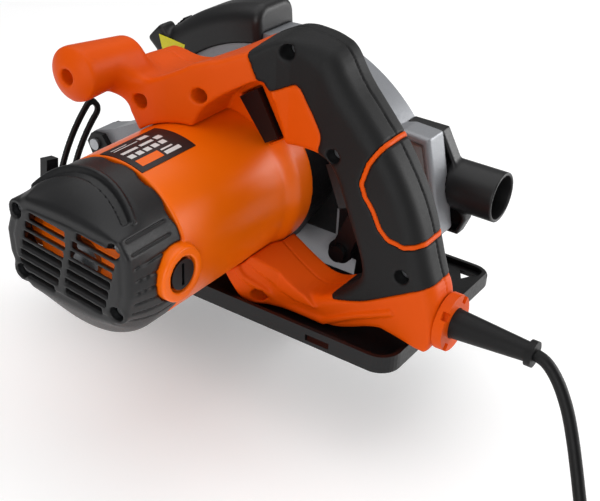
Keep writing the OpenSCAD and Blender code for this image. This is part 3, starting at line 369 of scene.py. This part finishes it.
# ---- end cap ----
# The black cover over the commutator end, moulded in glass-filled nylon with a fine
# eroded grain. Its flat face has cooling louvres and four deep screw wells.
CAP_Y, CAP_Z = MOTOR_Y, MOTOR_Z + 4.2
CAP_FACE = [
    (36, 26), (26, 32), (1, 32), (-37, 29), (-43, 20), (-43, -2), (-39, -14), (-30, -22),
    (-15, -23), (27, -21), (37, -14), (41, -4), (42, 9),
]
CAP_SCREW_DY, CAP_SCREW_DZ = 33.5, 18.2
LOUVRE_TILT, LOUVRE_PITCH = 0.105, 6.0
cap_black = moulded("black_nylon_satin", "#0C0C0D", "#131315", 0.44, 0.8, 0.2, sheen=0.38)
lo, hi, step = (-204, -56, -14), (-159, 46, 90), 0.8
X, Y, Z = grid(lo, hi, step)
from_axis = np.sqrt((Y - MOTOR_Y) ** 2 + (Z - MOTOR_Z) ** 2)
face2d = outline([(MOTOR_Y + y, MOTOR_Z + z) for y, z in CAP_FACE], Y[0], Z[0])[None]
t = np.clip((X + 203) / 24, 0, 1)
t = 1 - (1 - t) ** 1.7
cap = both((1 - t) * face2d + t * (from_axis - MOTOR_R), slab(X, -203, CAP_X1), 2.2)
# raised plate on the flat face, a little inside its edge
plate = both(face2d + 5.5, slab(X, -203.6, -200), 0.6)
cap = joined(cap, plate, 0.4)
hollow = both((1 - t) * (face2d + 4) + t * (from_axis - MOTOR_R + 5.4), slab(X, -199, -150))
wells = None
for sy in (-1, 1):
    for sz in (-1, 1):
        away = np.sqrt((Y - CAP_Y - sy * CAP_SCREW_DY) ** 2
                       + (Z - CAP_Z - sz * CAP_SCREW_DZ) ** 2)
        hollow = both(hollow, -(away - 6.5))
        cap = joined(cap, both(away - 6.3, slab(X, -202.4, -180)), 1.0)
        wells = away if wells is None else np.minimum(wells, away)
cap = both(cap, -hollow)
cap = both(cap, -both(wells - 4.1, X + 191), 0.8)
for row in range(-3, 4):
    for s in (-1, 1):
        yc, zc = CAP_Y + s * 16.6 - row * 1.7, CAP_Z + row * LOUVRE_PITCH - 1.0
        long = (Y - yc) * math.cos(LOUVRE_TILT) + (Z - zc) * math.sin(LOUVRE_TILT)
        high = -(Y - yc) * math.sin(LOUVRE_TILT) + (Z - zc) * math.cos(LOUVRE_TILT)
        high = high + (0.5 if row > 0 else -0.45) * (X + 203)
        half = 14.2 if abs(row) < 3 else 12.6
        slot = both(np.abs(long) - half, np.abs(high) - 2.1, 0.6)
        cap = both(cap, -both(slot, X + (190 if row > 0 else 197.5)), 0.6)
# fin grooves on the rear shoulder and a crescent groove on its top
angle = np.degrees(np.arctan2(Z - MOTOR_Z, -(Y - MOTOR_Y)))
skin = cap
comb = np.abs((angle + 4.5) % 9 - 4.5) * (math.pi / 180) * 42 - 0.5
fins = both(both(comb, np.abs(angle - 2) - 36), slab(X, -199, -170), 0.3)
cap = both(cap, -both(fins, -0.9 - skin), 0.2)
arch = X + 184 + 7.5 * ((angle - 92) / 48) ** 2
top_groove = both(slab(arch, -2.2, 2.2), np.abs(angle - 92) - 47, 1.0)
cap = both(cap, -both(top_groove, -1.7 - skin), 0.6)
lip = both(both(slab(arch, 2.4, 5.2), np.abs(angle - 92) - 49, 1.0), skin - 1.6, 1.0)
cap = joined(cap, both(lip, -4 - skin), 0.8)
boss = np.sqrt((X - BRUSH_X) ** 2 + (Z - MOTOR_Z) ** 2)
cap = both(cap, -both(boss - 16.0, 34 - np.abs(Y - MOTOR_Y)), 0.6)
# scalloped edge where the cap laps over the barrel
wave = X - (CAP_X1 - 1.6 + 1.6 * np.cos(np.radians(angle) * 14))
cap = both(cap, wave, 0.4)
piece = skinned("end_cap_cover", cap, lo, step, cap_black)
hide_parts("end_cap")


def turned(name, colour, low, high, mark_mm, metallic=1.0):
    """Plain worked metal: one colour, with machining marks that vary its gloss."""
    mat, tree, shader = new_material(name)
    shader.inputs["Metallic"].default_value = metallic
    shader.inputs["Base Color"].default_value = linear(colour)
    marks = add(tree, "ShaderNodeTexNoise", {
        "Vector": add(tree, "ShaderNodeTexCoord").outputs["Object"], "Scale": 1000 / mark_mm})
    tree.links.new(add(tree, "ShaderNodeMapRange", {
        "Value": marks.outputs["Fac"], "To Min": low, "To Max": high}).outputs["Result"],
        shader.inputs["Roughness"])
    return mat


# zinc-plated steel: pale grey, slightly blue, dull
zinc = turned("zinc_plated_steel", "#A9ABAE", 0.3, 0.5, 1.4)
for node in ("end_cap_screws", "gear_housing_screws", "handle_screws", "bevel_pins",
             "depth_pin", "bevel_bolt", "guard_ring", "guard_spring"):
    paint(node, zinc)


def cross_heads(name, places, radius, high, recess):
    """Screw heads with a cross recess, facing left, set on points by Geometry Nodes."""
    mesh = bpy.data.meshes.new(name)
    mesh.from_pydata([tuple((np.array(p) + SHIFT) / 1000) for p in places], [], [])
    thing = bpy.data.objects.new(name, mesh)
    bpy.context.scene.collection.objects.link(thing)
    tree = bpy.data.node_groups.new(name, "GeometryNodeTree")
    face = tree.interface
    face.new_socket("Geometry", in_out="INPUT", socket_type="NodeSocketGeometry")
    sizes = {}
    for label, value in (("Head radius", radius), ("Head height", high),
                         ("Recess width", recess)):
        socket = face.new_socket(label, in_out="INPUT", socket_type="NodeSocketFloat")
        sizes[socket.identifier] = value / 1000
    face.new_socket("Geometry", in_out="OUTPUT", socket_type="NodeSocketGeometry")
    given = add(tree, "NodeGroupInput").outputs
    head = add(tree, "GeometryNodeMeshCylinder", {
        "Vertices": 24, "Radius": given["Head radius"], "Depth": given["Head height"]})
    length = add(tree, "ShaderNodeMath", {0: given["Head radius"], 1: 1.15},
                 operation="MULTIPLY").outputs[0]
    lift = add(tree, "ShaderNodeCombineXYZ", {
        "Z": add(tree, "ShaderNodeMath", {0: given["Head height"], 1: 0.55},
                 operation="MULTIPLY").outputs[0]}).outputs[0]
    cut = add(tree, "GeometryNodeMeshBoolean", {"Mesh 1": head.outputs["Mesh"]},
              operation="DIFFERENCE")
    for wide in ((length, given["Recess width"]), (given["Recess width"], length)):
        size = add(tree, "ShaderNodeCombineXYZ", {
            "X": wide[0], "Y": wide[1], "Z": given["Head height"]}).outputs[0]
        bar = add(tree, "GeometryNodeMeshCube", {"Size": size}).outputs["Mesh"]
        bar = add(tree, "GeometryNodeTransform", {"Geometry": bar, "Translation": lift})
        tree.links.new(bar.outputs["Geometry"], cut.inputs["Mesh 2"])
    left = add(tree, "GeometryNodeTransform", {
        "Geometry": cut.outputs["Mesh"], "Rotation": (0, -math.pi / 2, 0)})
    heads = add(tree, "GeometryNodeInstanceOnPoints", {
        "Points": given["Geometry"], "Instance": left.outputs["Geometry"]})
    whole = add(tree, "GeometryNodeRealizeInstances", {"Geometry": heads.outputs["Instances"]})
    finish = add(tree, "GeometryNodeSetMaterial", {
        "Geometry": whole.outputs["Geometry"], "Material": zinc})
    add(tree, "NodeGroupOutput", {"Geometry": finish.outputs["Geometry"]})
    nodes = thing.modifiers.new("heads", "NODES")
    nodes.node_group = tree
    for key, value in sizes.items():
        nodes[key] = value
    made = thing.evaluated_get(bpy.context.evaluated_depsgraph_get())
    mesh = bpy.data.meshes.new_from_object(made)
    thing.modifiers.remove(nodes)
    thing.data = mesh
    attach(thing, "saw_body")


cross_heads("end_cap_screw_heads", [
    (-197.4, CAP_Y + sy * CAP_SCREW_DY, CAP_Z + sz * CAP_SCREW_DZ)
    for sy in (-1, 1) for sz in (-1, 1)],
    3.5, 1.6, 0.9)

# ---- handle ----
# Two half shells of orange nylon screwed together along the middle. The shell runs from
# the front knob over the motor, back into the closed grip, and forward under the
# opening to the gear plate. The grip is overmoulded with a soft black elastomer.
HX = -66.0
OUTLINE = [
    (28, 80), (34, 90), (42, 94), (48, 99), (47, 105), (39, 104), (31, 101),
    (20, 102), (10, 106), (-2, 112.5), (-14, 120.5), (-28, 129.5), (-46, 139.4),
    (-54, 142.2), (-65, 141.6), (-73, 140.3), (-82.4, 137), (-91.3, 121.6),
    (-104.7, 107.5), (-116.4, 94.6), (-124.2, 83.7), (-132.7, 70.6),
    (-138.6, 58.7), (-142.9, 47.4), (-149.9, 26), (-156, 14), (-156, -19),
    (-146, -18), (-138, -15.5), (-130, -14.2), (-122, -13), (-98, -24.5), (-88, -25.5),
    (-56, -25.8), (-40, -25.8), (-33, -19), (-20, 10), (5, 40),
]
OPENING = [
    (-30, 15), (-45, 8), (-62, -4), (-77, -11), (-94, -3), (-107, 10),
    (-110, 20), (-97, 50), (-86, 76), (-74, 80), (-56, 80), (-40, 72), (-30, 60),
]
SOFT_AREA = [
    (-25, 160), (-37.6, 128.5), (-41.7, 116), (-48, 109.5), (-63.5, 117.5),
    (-79, 91.5), (-76, 79), (-76, 60), (-80, 20), (-90, -8), (-113, 0),
    (-141, 17), (-151, 22), (-175, 24), (-175, 160),
]
RECESS = [
    (-8, 82), (-14, 96), (-25, 106), (-44, 117.7), (-48, 109.5), (-57.5, 82),
    (-52, 70), (-30, 60),
]
LEFT_PLAN = [
    (-48, 70), (-113.5, 70), (-113.5, 16), (-105.7, -15.5), (-96, -37.6), (-84, -57),
    (-84, -175), (-48, -175),
]
BUTTON = [(-20, 96.6), (-32, 104.3), (-47, 78.7), (-38.5, 73.5)]
SCREWS = [(22.6, 93.4), (-13, 103.7), (-56.5, 133.6), (-87, 82), (-134.9, 24.9),
          (-46, -18.5)]
SCREW_BORE_R, SCREW_FLOOR = 4.2, -75.0
KNOB_Y, KNOB_Z, KNOB_R = 42.0, 113.0, 15.5
shell_orange = moulded("orange_nylon_satin", "#D44C00", "#DA5000", 0.46, 0.7, 0.08,
                       spread=0.03, sheen=0.12)
# thermoplastic elastomer: black, matt, with a velvety edge
rubber = moulded("black_soft_grip", "#070708", "#0C0C0D", 0.6, 0.6, 0.3, sheen=0.3)


def eased(points, times=2, share=0.22):
    """Outline with its corners cut back, over and over, until they run round."""
    for _ in range(times):
        points = [(a[0] + (b[0] - a[0]) * k, a[1] + (b[1] - a[1]) * k)
                  for a, b in zip(points, points[1:] + points[:1]) for k in (share, 1 - share)]
    return points


OUTLINE = eased(OUTLINE, 2, 0.25)
OPENING = eased(OPENING, 2, 0.25)
RECESS = eased(RECESS, 2, 0.2)
LEFT_PLAN = eased(LEFT_PLAN, 2, 0.2)
SOFT_AREA = eased(SOFT_AREA, 2, 0.12)
lo, hi, step = (-151, -159, -28), (-46, 60, 145), 1.0
X, Y, Z = grid(lo, hi, step)
body = np.empty(np.broadcast(X, Y, Z).shape, np.float32)
high = np.clip((Z[0] - 85) / 12, 0, 1)
front, rear = np.clip((Y[0] + 22) / 14, 0, 1), np.clip((-18 - Y[0]) / 22, 0, 1)
for i, x in enumerate(X[:, 0, 0]):
    sink = rear * max(0, HX - x) * 0.13 - front * max(0, -48 - x) * 0.07
    body[i] = outline(OUTLINE, Y[0], Z[0] + sink * high)


def crossed(a, b, r):
    """What two solids share, where the edge radius changes along the edge."""
    return (np.minimum(np.maximum(a, b), -r)
            + np.sqrt(np.maximum(a + r, 0) ** 2 + np.maximum(b + r, 0) ** 2))


plan = outline(LEFT_PLAN, X[:, :, 0], Y[:, :, 0])[:, :, None]
round_r = 3.0 + 6.5 * np.clip((-50 - Y) / 25, 0, 1) * np.clip((Z + 5) / 25, 0, 1)
body = crossed(body, plan, round_r)
round_r = 3.0 + 11.5 * np.clip((5 - Y) / 40, 0, 1) * np.clip((Z + 15) / 25, 0, 1)
body = crossed(body, X + 47.5, round_r)
hole = outline(OPENING, Y[0], Z[0])[None]
body = both(body, -hole, 6.0)
knob = both(np.sqrt((Y - KNOB_Y) ** 2 + (Z - KNOB_Z + 0.04 * (X + 140)) ** 2) - KNOB_R
            + 3.4 * np.clip((X + 140) / 40, 0, 1) + 0.8 * np.clip(-144 - X, 0, None),
            slab(X, -149, -96), 7.0)
body = joined(body, knob, 14.0)
from_axis = np.sqrt((Y - MOTOR_Y) ** 2 + (Z - MOTOR_Z) ** 2)
flare = 2.5 * np.clip((X + 76) / 14, 0, 1) ** 2 * (3 - 2 * np.clip((X + 76) / 14, 0, 1))
body = both(body, -(from_axis - MOTOR_R - 0.4 - flare), 1.2)
recess = both(outline(RECESS, Y[0], Z[0])[None], X + 75.0, 1.0)
body = both(body, -recess, 1.6)
body = both(body, -both(outline(BUTTON, Y[0], Z[0])[None] - 1.1, X + 61), 0.3)
for y, z in SCREWS:
    away = np.sqrt((Y - y) ** 2 + (Z - z) ** 2)
    body = both(body, -both(away - SCREW_BORE_R, X - SCREW_FLOOR), 0.6)
away = np.sqrt((Y - KNOB_Y) ** 2 + (Z - KNOB_Z) ** 2)
body = both(body, -both(away - 4.4, X + 140.0), 0.5)
soft2d = outline(SOFT_AREA, Y[0], Z[0])[None]
trig_a = math.atan2(26, 11)
along = (Y + 91.5) * math.cos(trig_a) + (Z - 63) * math.sin(trig_a)
deep = -(Y + 91.5) * math.sin(trig_a) + (Z - 63) * math.cos(trig_a)
slot = both(both(np.abs(X - HX) - 9.9, np.abs(along) - 14.2), np.abs(deep) - 12.5)
body = both(body, -slot, 0.6)


def ribbon(points, u, v):
    """Distance to an open line in a plane."""
    best = np.full(np.broadcast(u, v).shape, 1e9, np.float32)
    for (x0, y0), (x1, y1) in zip(points, points[1:]):
        ex, ey = x1 - x0, y1 - y0
        t = np.clip(((u - x0) * ex + (v - y0) * ey) / (ex * ex + ey * ey), 0, 1)
        best = np.minimum(best, (u - x0 - t * ex) ** 2 + (v - y0 - t * ey) ** 2)
    return np.sqrt(best)


rib = ribbon([(-30, 8), (-38, -6), (-59.5, -22.5), (-88, -22.8), (-108, -11), (-131, 0.5)],
             Y[0], Z[0])[None]
wall = np.interp(Y, [-175, -57, -37.6, -15.5, 16], [-84, -84, -96, -105.7, -113.5])
rib = both(rib - 1.8, slab(X, wall - 1.8, HX), 0.8)
body = joined(body, rib, 0.5)
block = outline([(-28, 20), (-44, 13), (-62, -3), (-75, -9), (-84, -15.5), (-70, -16),
                 (-58, -13), (-44, 0), (-34, 12)], Y[0], Z[0])[None]
body = joined(body, both(block, slab(X, wall - 2.4, HX), 1.0), 0.5)
body = both(body, -(from_axis - MOTOR_R - 0.4 - flare), 0.4)
body = both(body, -hole, 1.0)
for y, z in SCREWS:
    away = np.sqrt((Y - y) ** 2 + (Z - z) ** 2)
    body = both(body, -both(away - SCREW_BORE_R, X - SCREW_FLOOR), 0.6)
shell = both(body, -(soft2d + 0.35), 0.5)
# trim line round the rear pad of the grip
TRIM = [(-116.5, 97.5), (-109, 84), (-105.6, 71.9), (-108.5, 65), (-113.6, 59.0),
        (-119, 49), (-124.5, 44.4), (-134.2, 43.0), (-148, 46)]
line = ribbon(TRIM, Y[0], Z[0])
trim = both(line[None] - 1.4, slab(body, -2.5, 0.35), 0.5)
grip = both(body - 0.3, soft2d + 0.35, 0.8)
grip = both(grip, -both(line[None] - 1.6, -1.5 - body), 0.3)
# the seam between the two halves
seam = both(np.abs(X - HX) - 0.3, -0.7 - body)
grip = both(grip, -seam)
shell = both(shell, -seam)
piece = skinned("handle_shells", shell, lo, step, shell_orange)
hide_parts("handle_left", "handle_right")
piece = skinned("handle_soft_grip", grip, lo, step, rubber)
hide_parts("grip_left", "grip_right")
piece = skinned("grip_trim_line", trim, lo, step, shell_orange)
cross_heads("handle_screw_heads", [(-75.6, y, z) for y, z in SCREWS], 3.7, 1.6, 0.9)
button_black = moulded("black_button_gloss", "#08080A", "#0D0D0F", 0.36, 0.8, 0.08, sheen=0.35)
for node in ("trigger", "lock_off_button", "switch_block", "laser_switch", "brush_caps",
             "spindle_lock", "guard_lever", "depth_bolt", "depth_lever", "bevel_lever"):
    paint(node, button_black)
paint("cord_collar", shell_orange)
paint("strain_relief", pvc)

# ---- guards ----
# The upper guard is die-cast aluminium, painted silver; the lower guard is pressed
# steel, given the same silver paint.
silver, tree, shader = new_material("silver_paint_on_cast_aluminium")
where = add(tree, "ShaderNodeTexCoord").outputs["Object"]
flake = add(tree, "ShaderNodeTexNoise", {"Vector": where, "Scale": 1600.0, "Detail": 2})
cast = add(tree, "ShaderNodeTexNoise", {"Vector": where, "Scale": 240.0, "Detail": 4})
tone = add(tree, "ShaderNodeMix", {0: flake.outputs["Fac"]}, data_type="RGBA")
tone.inputs[6].default_value = linear("#85878B")
tone.inputs[7].default_value = linear("#96989C")
tree.links.new(tone.outputs[2], shader.inputs["Base Color"])
tree.links.new(add(tree, "ShaderNodeBump", {
    "Height": cast.outputs["Fac"], "Strength": 0.18, "Distance": 0.0008}).outputs["Normal"],
    shader.inputs["Normal"])
shader.inputs["Metallic"].default_value = 0.35
shader.inputs["Roughness"].default_value = 0.42
# black with a coarse grain: the gear case, gear plate, and a thin disc darkening the guard's
# left wall round it
case_black = moulded("black_grained_casting_and_disc", "#0A0A0B", "#151517", 0.5, 1.4, 0.4, sheen=0.3)
for node in ("upper_guard", "lower_guard"):
    paint(node, silver)
for node in ("gear_housing", "gear_plate"):
    paint(node, case_black)
# thin black disc over the guard's left wall, darkening it where it shows through the handle's
# opening
lo, hi, step = (-19, -92, -12), (-12, 92, 92), 0.9
X, Y, Z = grid(lo, hi, step)
disc = both(np.sqrt(Y ** 2 + Z ** 2) - 88, slab(X, -16.6, -15), 0.8)
disc = both(disc, -8 - Z, 0.5)
disc = both(disc, -both(np.abs(Y - 82) - 22, np.abs(Z - 22) - 24))
piece = skinned("guard_wall_black_disc", disc, lo, step, case_black)
enamel = moulded("black_enamel_on_steel", "#070708", "#0D0D0F", 0.4, 1.6, 0.1, sheen=0.3)
for node in ("base_plate", "front_bracket", "rear_bracket"):
    paint(node, enamel)
# tool steel for the blade, ground: bright with a fine grain
blade_steel = turned("ground_tool_steel", "#B4B6B8", 0.2, 0.36, 0.9)
# machined shafts, gears and bearings: darker, an oily gloss
shaft_steel = turned("machined_steel", "#85878A", 0.24, 0.4, 1.1)
# stacked electrical steel: dull blue-grey
core_steel = turned("laminated_core_steel", "#5C6066", 0.42, 0.6, 0.7)
# hard-drawn copper bars, run in by the brushes: warm and smooth
copper = turned("commutator_copper", "#B87248", 0.22, 0.38, 0.8)
# lacquered winding wire: red-brown under a clear coat
winding = turned("enamelled_copper_wire", "#8A4424", 0.3, 0.45, 0.6)
# turned brass: yellow, small bright marks
brass = turned("turned_brass", "#B59A54", 0.26, 0.42, 1.0)
# pressed carbon: matt near-black, not metallic
carbon = turned("pressed_carbon", "#1A1A1B", 0.6, 0.78, 0.7, metallic=0.0)
for mat, nodes in (
    (blade_steel, ("blade",)),
    (shaft_steel, ("spindle", "gear_wheel", "inner_flange", "outer_flange", "blade_bolt",
                   "motor_bearings", "spindle_bearings", "armature_shaft")),
    (core_steel, ("armature_core", "stator_core")), (copper, ("commutator",)),
    (winding, ("field_coils",)), (brass, ("laser_module", "brush_holders")),
    (carbon, ("carbon_brushes",)),
):
    for node in nodes:
        paint(node, mat)
paint("cooling_fan", cap_black)
paint("rating_plate", cap_black)

# ---- laser cover ----
# A black nylon cover clipped over the front of the upper guard, with the line laser
# inside. Its back is domed; a sliding switch sits in a slot on the top.
lo, hi, step = (-22, 2, 62), (21, 104, 130), 0.9
X, Y, Z = grid(lo, hi, step)
radius = np.sqrt(Y ** 2 + Z ** 2)
sweep = np.degrees(np.arctan2(Z, Y))
cover = both(radius - 127, slab(X, -20, 19), 11.0)
cover = both(cover, 104 - radius, 1.0)
ends = np.maximum((40 - sweep), (sweep - 85)) * (math.pi / 180) * 115
cover = both(cover, ends, 5.0)
inner = both(both(radius - 124, slab(X, -17, 16), 8.0), np.maximum(41.5 - sweep, sweep - 83.5))
cover = both(cover, -inner, 0.2)
cover = both(cover, -both(radius - 110.2, slab(X, -15.3, 14.3)), 0.2)
sa = math.radians(43)
across = Y * math.cos(sa) - Z * math.sin(sa)
well = both(both(np.abs(X) - 4.4, np.abs(across + 0.8) - 8.4), 119 - radius)
cover = both(cover, -well, 0.5)
nose = both(slab(X, -19, -5.5), slab(sweep, 40.5, 48) * 2.1, 3.0)
cover = joined(cover, both(nose, both(radius - 133, 118 - radius), 2.5), 2.0)
piece = skinned("laser_cover_shell", cover, lo, step, cap_black)
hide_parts("laser_cover")
# plain yellow film, a four-cornered patch with nothing printed on it
film, tree, shader = new_material("plain_yellow_film")
shader.inputs["Base Color"].default_value = linear("#D9D400")
shader.inputs["Roughness"].default_value = 0.35
where = add(tree, "ShaderNodeTexCoord").outputs["Object"]
haze = add(tree, "ShaderNodeTexNoise", {"Vector": where, "Scale": 150.0})
tree.links.new(add(tree, "ShaderNodeMapRange", {
    "Value": haze.outputs["Fac"], "To Min": 0.28, "To Max": 0.42}).outputs["Result"],
    shader.inputs["Roughness"])


def flat_sheet(name, points, x, thick, mat, body="saw_body"):
    """Thin flat film or plate on a wall that faces left, from its outline in mm."""
    verts, n = [], len(points)
    for dx in (0, thick):
        verts += [tuple((np.array([x - dx, y, z]) + SHIFT) / 1000) for y, z in points]
    faces = [tuple(range(n))[::-1], tuple(range(n, 2 * n))]
    faces += [(i, (i + 1) % n, n + (i + 1) % n, n + i) for i in range(n)]
    mesh = bpy.data.meshes.new(name)
    mesh.from_pydata(verts, [], faces)
    build = bmesh.new()
    build.from_mesh(mesh)
    bmesh.ops.recalc_face_normals(build, faces=build.faces)
    build.to_mesh(mesh)
    build.free()
    mesh.materials.append(mat)
    thing = bpy.data.objects.new(name, mesh)
    bpy.context.scene.collection.objects.link(thing)
    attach(thing, body)
    return thing


flat_sheet("yellow_patch", [(89.0, 92.0), (67.5, 90.0), (69.5, 80.5), (86.0, 81.0)], -19.7,
           0.5, film)

# ---- dust outlet ----
# A silver-painted box screwed to the guard's rear, with a dark brown glossy pane set in its
# left wall; the black moulding on its right carries the round hose tube.
CHUTE = [(-84, 72), (-91, 74), (-108, 73), (-114.5, 46), (-121, 14), (-112, 8), (-90, 8)]
PORT = [(-83.5, 72), (-106.7, 72), (-117.8, 52.8), (-128.5, 19), (-124.4, 8.5), (-90, 8.5)]
TUBE_X, TUBE_Z, TUBE_R = 12.5, 38, 15.5
lo, hi, step = (-18, -149, 4), (30, -82, 77), 0.8
X, Y, Z = grid(lo, hi, step)
radius = np.sqrt(Y ** 2 + Z ** 2)
box2d = outline(CHUTE, Y[0], Z[0])[None] - 0.6
box = both(box2d, slab(X, -15, 4.4), 3.0)
box = both(box, -both(box2d + 2.6, slab(X, -12.5, 20)), 0.5)
box = both(box, -both(box2d + 4.0, X + 14.2), 0.6)
box = both(box, 110.1 - radius, 0.4)
piece = skinned("dust_box", box, lo, step, silver)
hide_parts("dust_chute")
# opaque dark reddish-brown pane, glossy, with a soft mottle; it is not see-through
pane_brown, tree, shader = new_material("dark_brown_glossy_pane")
shader.inputs["Roughness"].default_value = 0.12
shader.inputs["IOR"].default_value = 1.58
where = add(tree, "ShaderNodeTexCoord").outputs["Object"]
dust = add(tree, "ShaderNodeTexNoise", {"Vector": where, "Scale": 70.0, "Detail": 3})
tone = add(tree, "ShaderNodeMix", {0: dust.outputs["Fac"]}, data_type="RGBA")
tone.inputs[6].default_value = linear("#4A3E3C")
tone.inputs[7].default_value = linear("#6A5A57")
tree.links.new(tone.outputs[2], shader.inputs["Base Color"])
pane = both(both(box2d + 4.3, slab(X, -14.5, -12.4), 0.4), 110.3 - radius, 0.3)
piece = skinned("dust_box_dark_pane", pane, lo, step, pane_brown)
port2d = outline(PORT, Y[0], Z[0])[None] - 0.4
port = both(port2d, slab(X, 4.4, 15), 2.0)
port = both(port, -both(port2d + 2.4, X - 12.8), 0.5)
bore = np.sqrt((X - TUBE_X) ** 2 + (Z - TUBE_Z) ** 2)
port = joined(port, both(bore - TUBE_R, slab(Y, -147, -112), 0.7), 2.5)
port = both(port, -both(bore - 13.5, slab(Y, -160, -116)), 0.6)
port = both(port, 110.2 - radius, 0.4)
port = both(port, -both(box2d - 0.2, X - 4.4), 0.2)
piece = skinned("dust_tube_half", port, lo, step, cap_black)
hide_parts("dust_port")

# ---- bevel strap ----
# The slotted arc that guides the bevel clamp: laser-cut steel strap with a rounded
# end, stamped foot, black enamel. It is welded to the base.
TILT_Z, STRAP_R = -22.5, 91
lo, hi, step = (-101, 103, -28), (-50, 116, 62), 0.8
X, Y, Z = grid(lo, hi, step)
swing = np.sqrt(X ** 2 + (Z - TILT_Z) ** 2)
angle = np.degrees(np.arctan2(Z - TILT_Z, X)) % 360
ends = np.maximum(127 - angle, angle - 182.6) * (math.pi / 180) * STRAP_R
strap = both(both(np.abs(swing - STRAP_R) - 8, ends, 6.5), slab(Y, 112, 114.5), 0.5)
ends = np.maximum(129.4 - angle, angle - 179.3) * (math.pi / 180) * STRAP_R
strap = both(strap, -both(np.abs(swing - STRAP_R) - 3.6, ends, 3.0), 0.3)
foot = both(both(slab(X, -99, -83), slab(Z, -27, -25)), slab(Y, 104, 114.5), 0.4)
strap = joined(strap, foot, 0.6)
piece = skinned("bevel_strap", strap, lo, step, enamel, "base")
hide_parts("bevel_quadrant")

# ---- type plate ----
# A black film on top of the barrel, printed with plain bars and boxes only.
print_white = moulded("white_screen_print", "#C8C8C6", "#DADAD8", 0.4, 1.5, 0.02)


def curved_patch(name, x0, x1, a0, a1, lift, mat):
    """Thin film that follows the barrel, from angle a0 to a1."""
    verts, steps = [], max(2, int((a1 - a0) / 2))
    for x in (x0, x1):
        for k in range(steps + 1):
            a = math.radians(a0 + (a1 - a0) * k / steps)
            r = MOTOR_R + lift
            at = np.array([x, MOTOR_Y + r * math.cos(a), MOTOR_Z + r * math.sin(a)])
            verts.append(tuple((at + SHIFT) / 1000))
    faces = [(k, steps + 1 + k, steps + 2 + k, k + 1) for k in range(steps)]
    mesh = bpy.data.meshes.new(name)
    mesh.from_pydata(verts, [], faces)
    mesh.materials.append(mat)
    for face in mesh.polygons:
        face.use_smooth = True
    thing = bpy.data.objects.new(name, mesh)
    bpy.context.scene.collection.objects.link(thing)
    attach(thing, "saw_body")
    return thing


marks = [(-158, -141, 100.5, 107), (-139, -127, 104, 107.2), (-139, -130, 101.0, 102.4)]
marks += [(-158 + 6 * k, -153.6 + 6 * k, 93.5, 97.6) for k in range(5)]
marks += [(-158, -146, 88, 90.6), (-144, -134, 88, 90.6), (-132, -127, 87, 91.2)]
marks += [(-158, -140, 82.2, 83.2), (-158, -146, 79.6, 80.5), (-138, -131, 79.5, 83.5)]
for k, (x0, x1, a0, a1) in enumerate(marks):
    curved_patch(f"plate_mark_{k}", x0, x1, a0, a1, 0.5, print_white if k else orange)
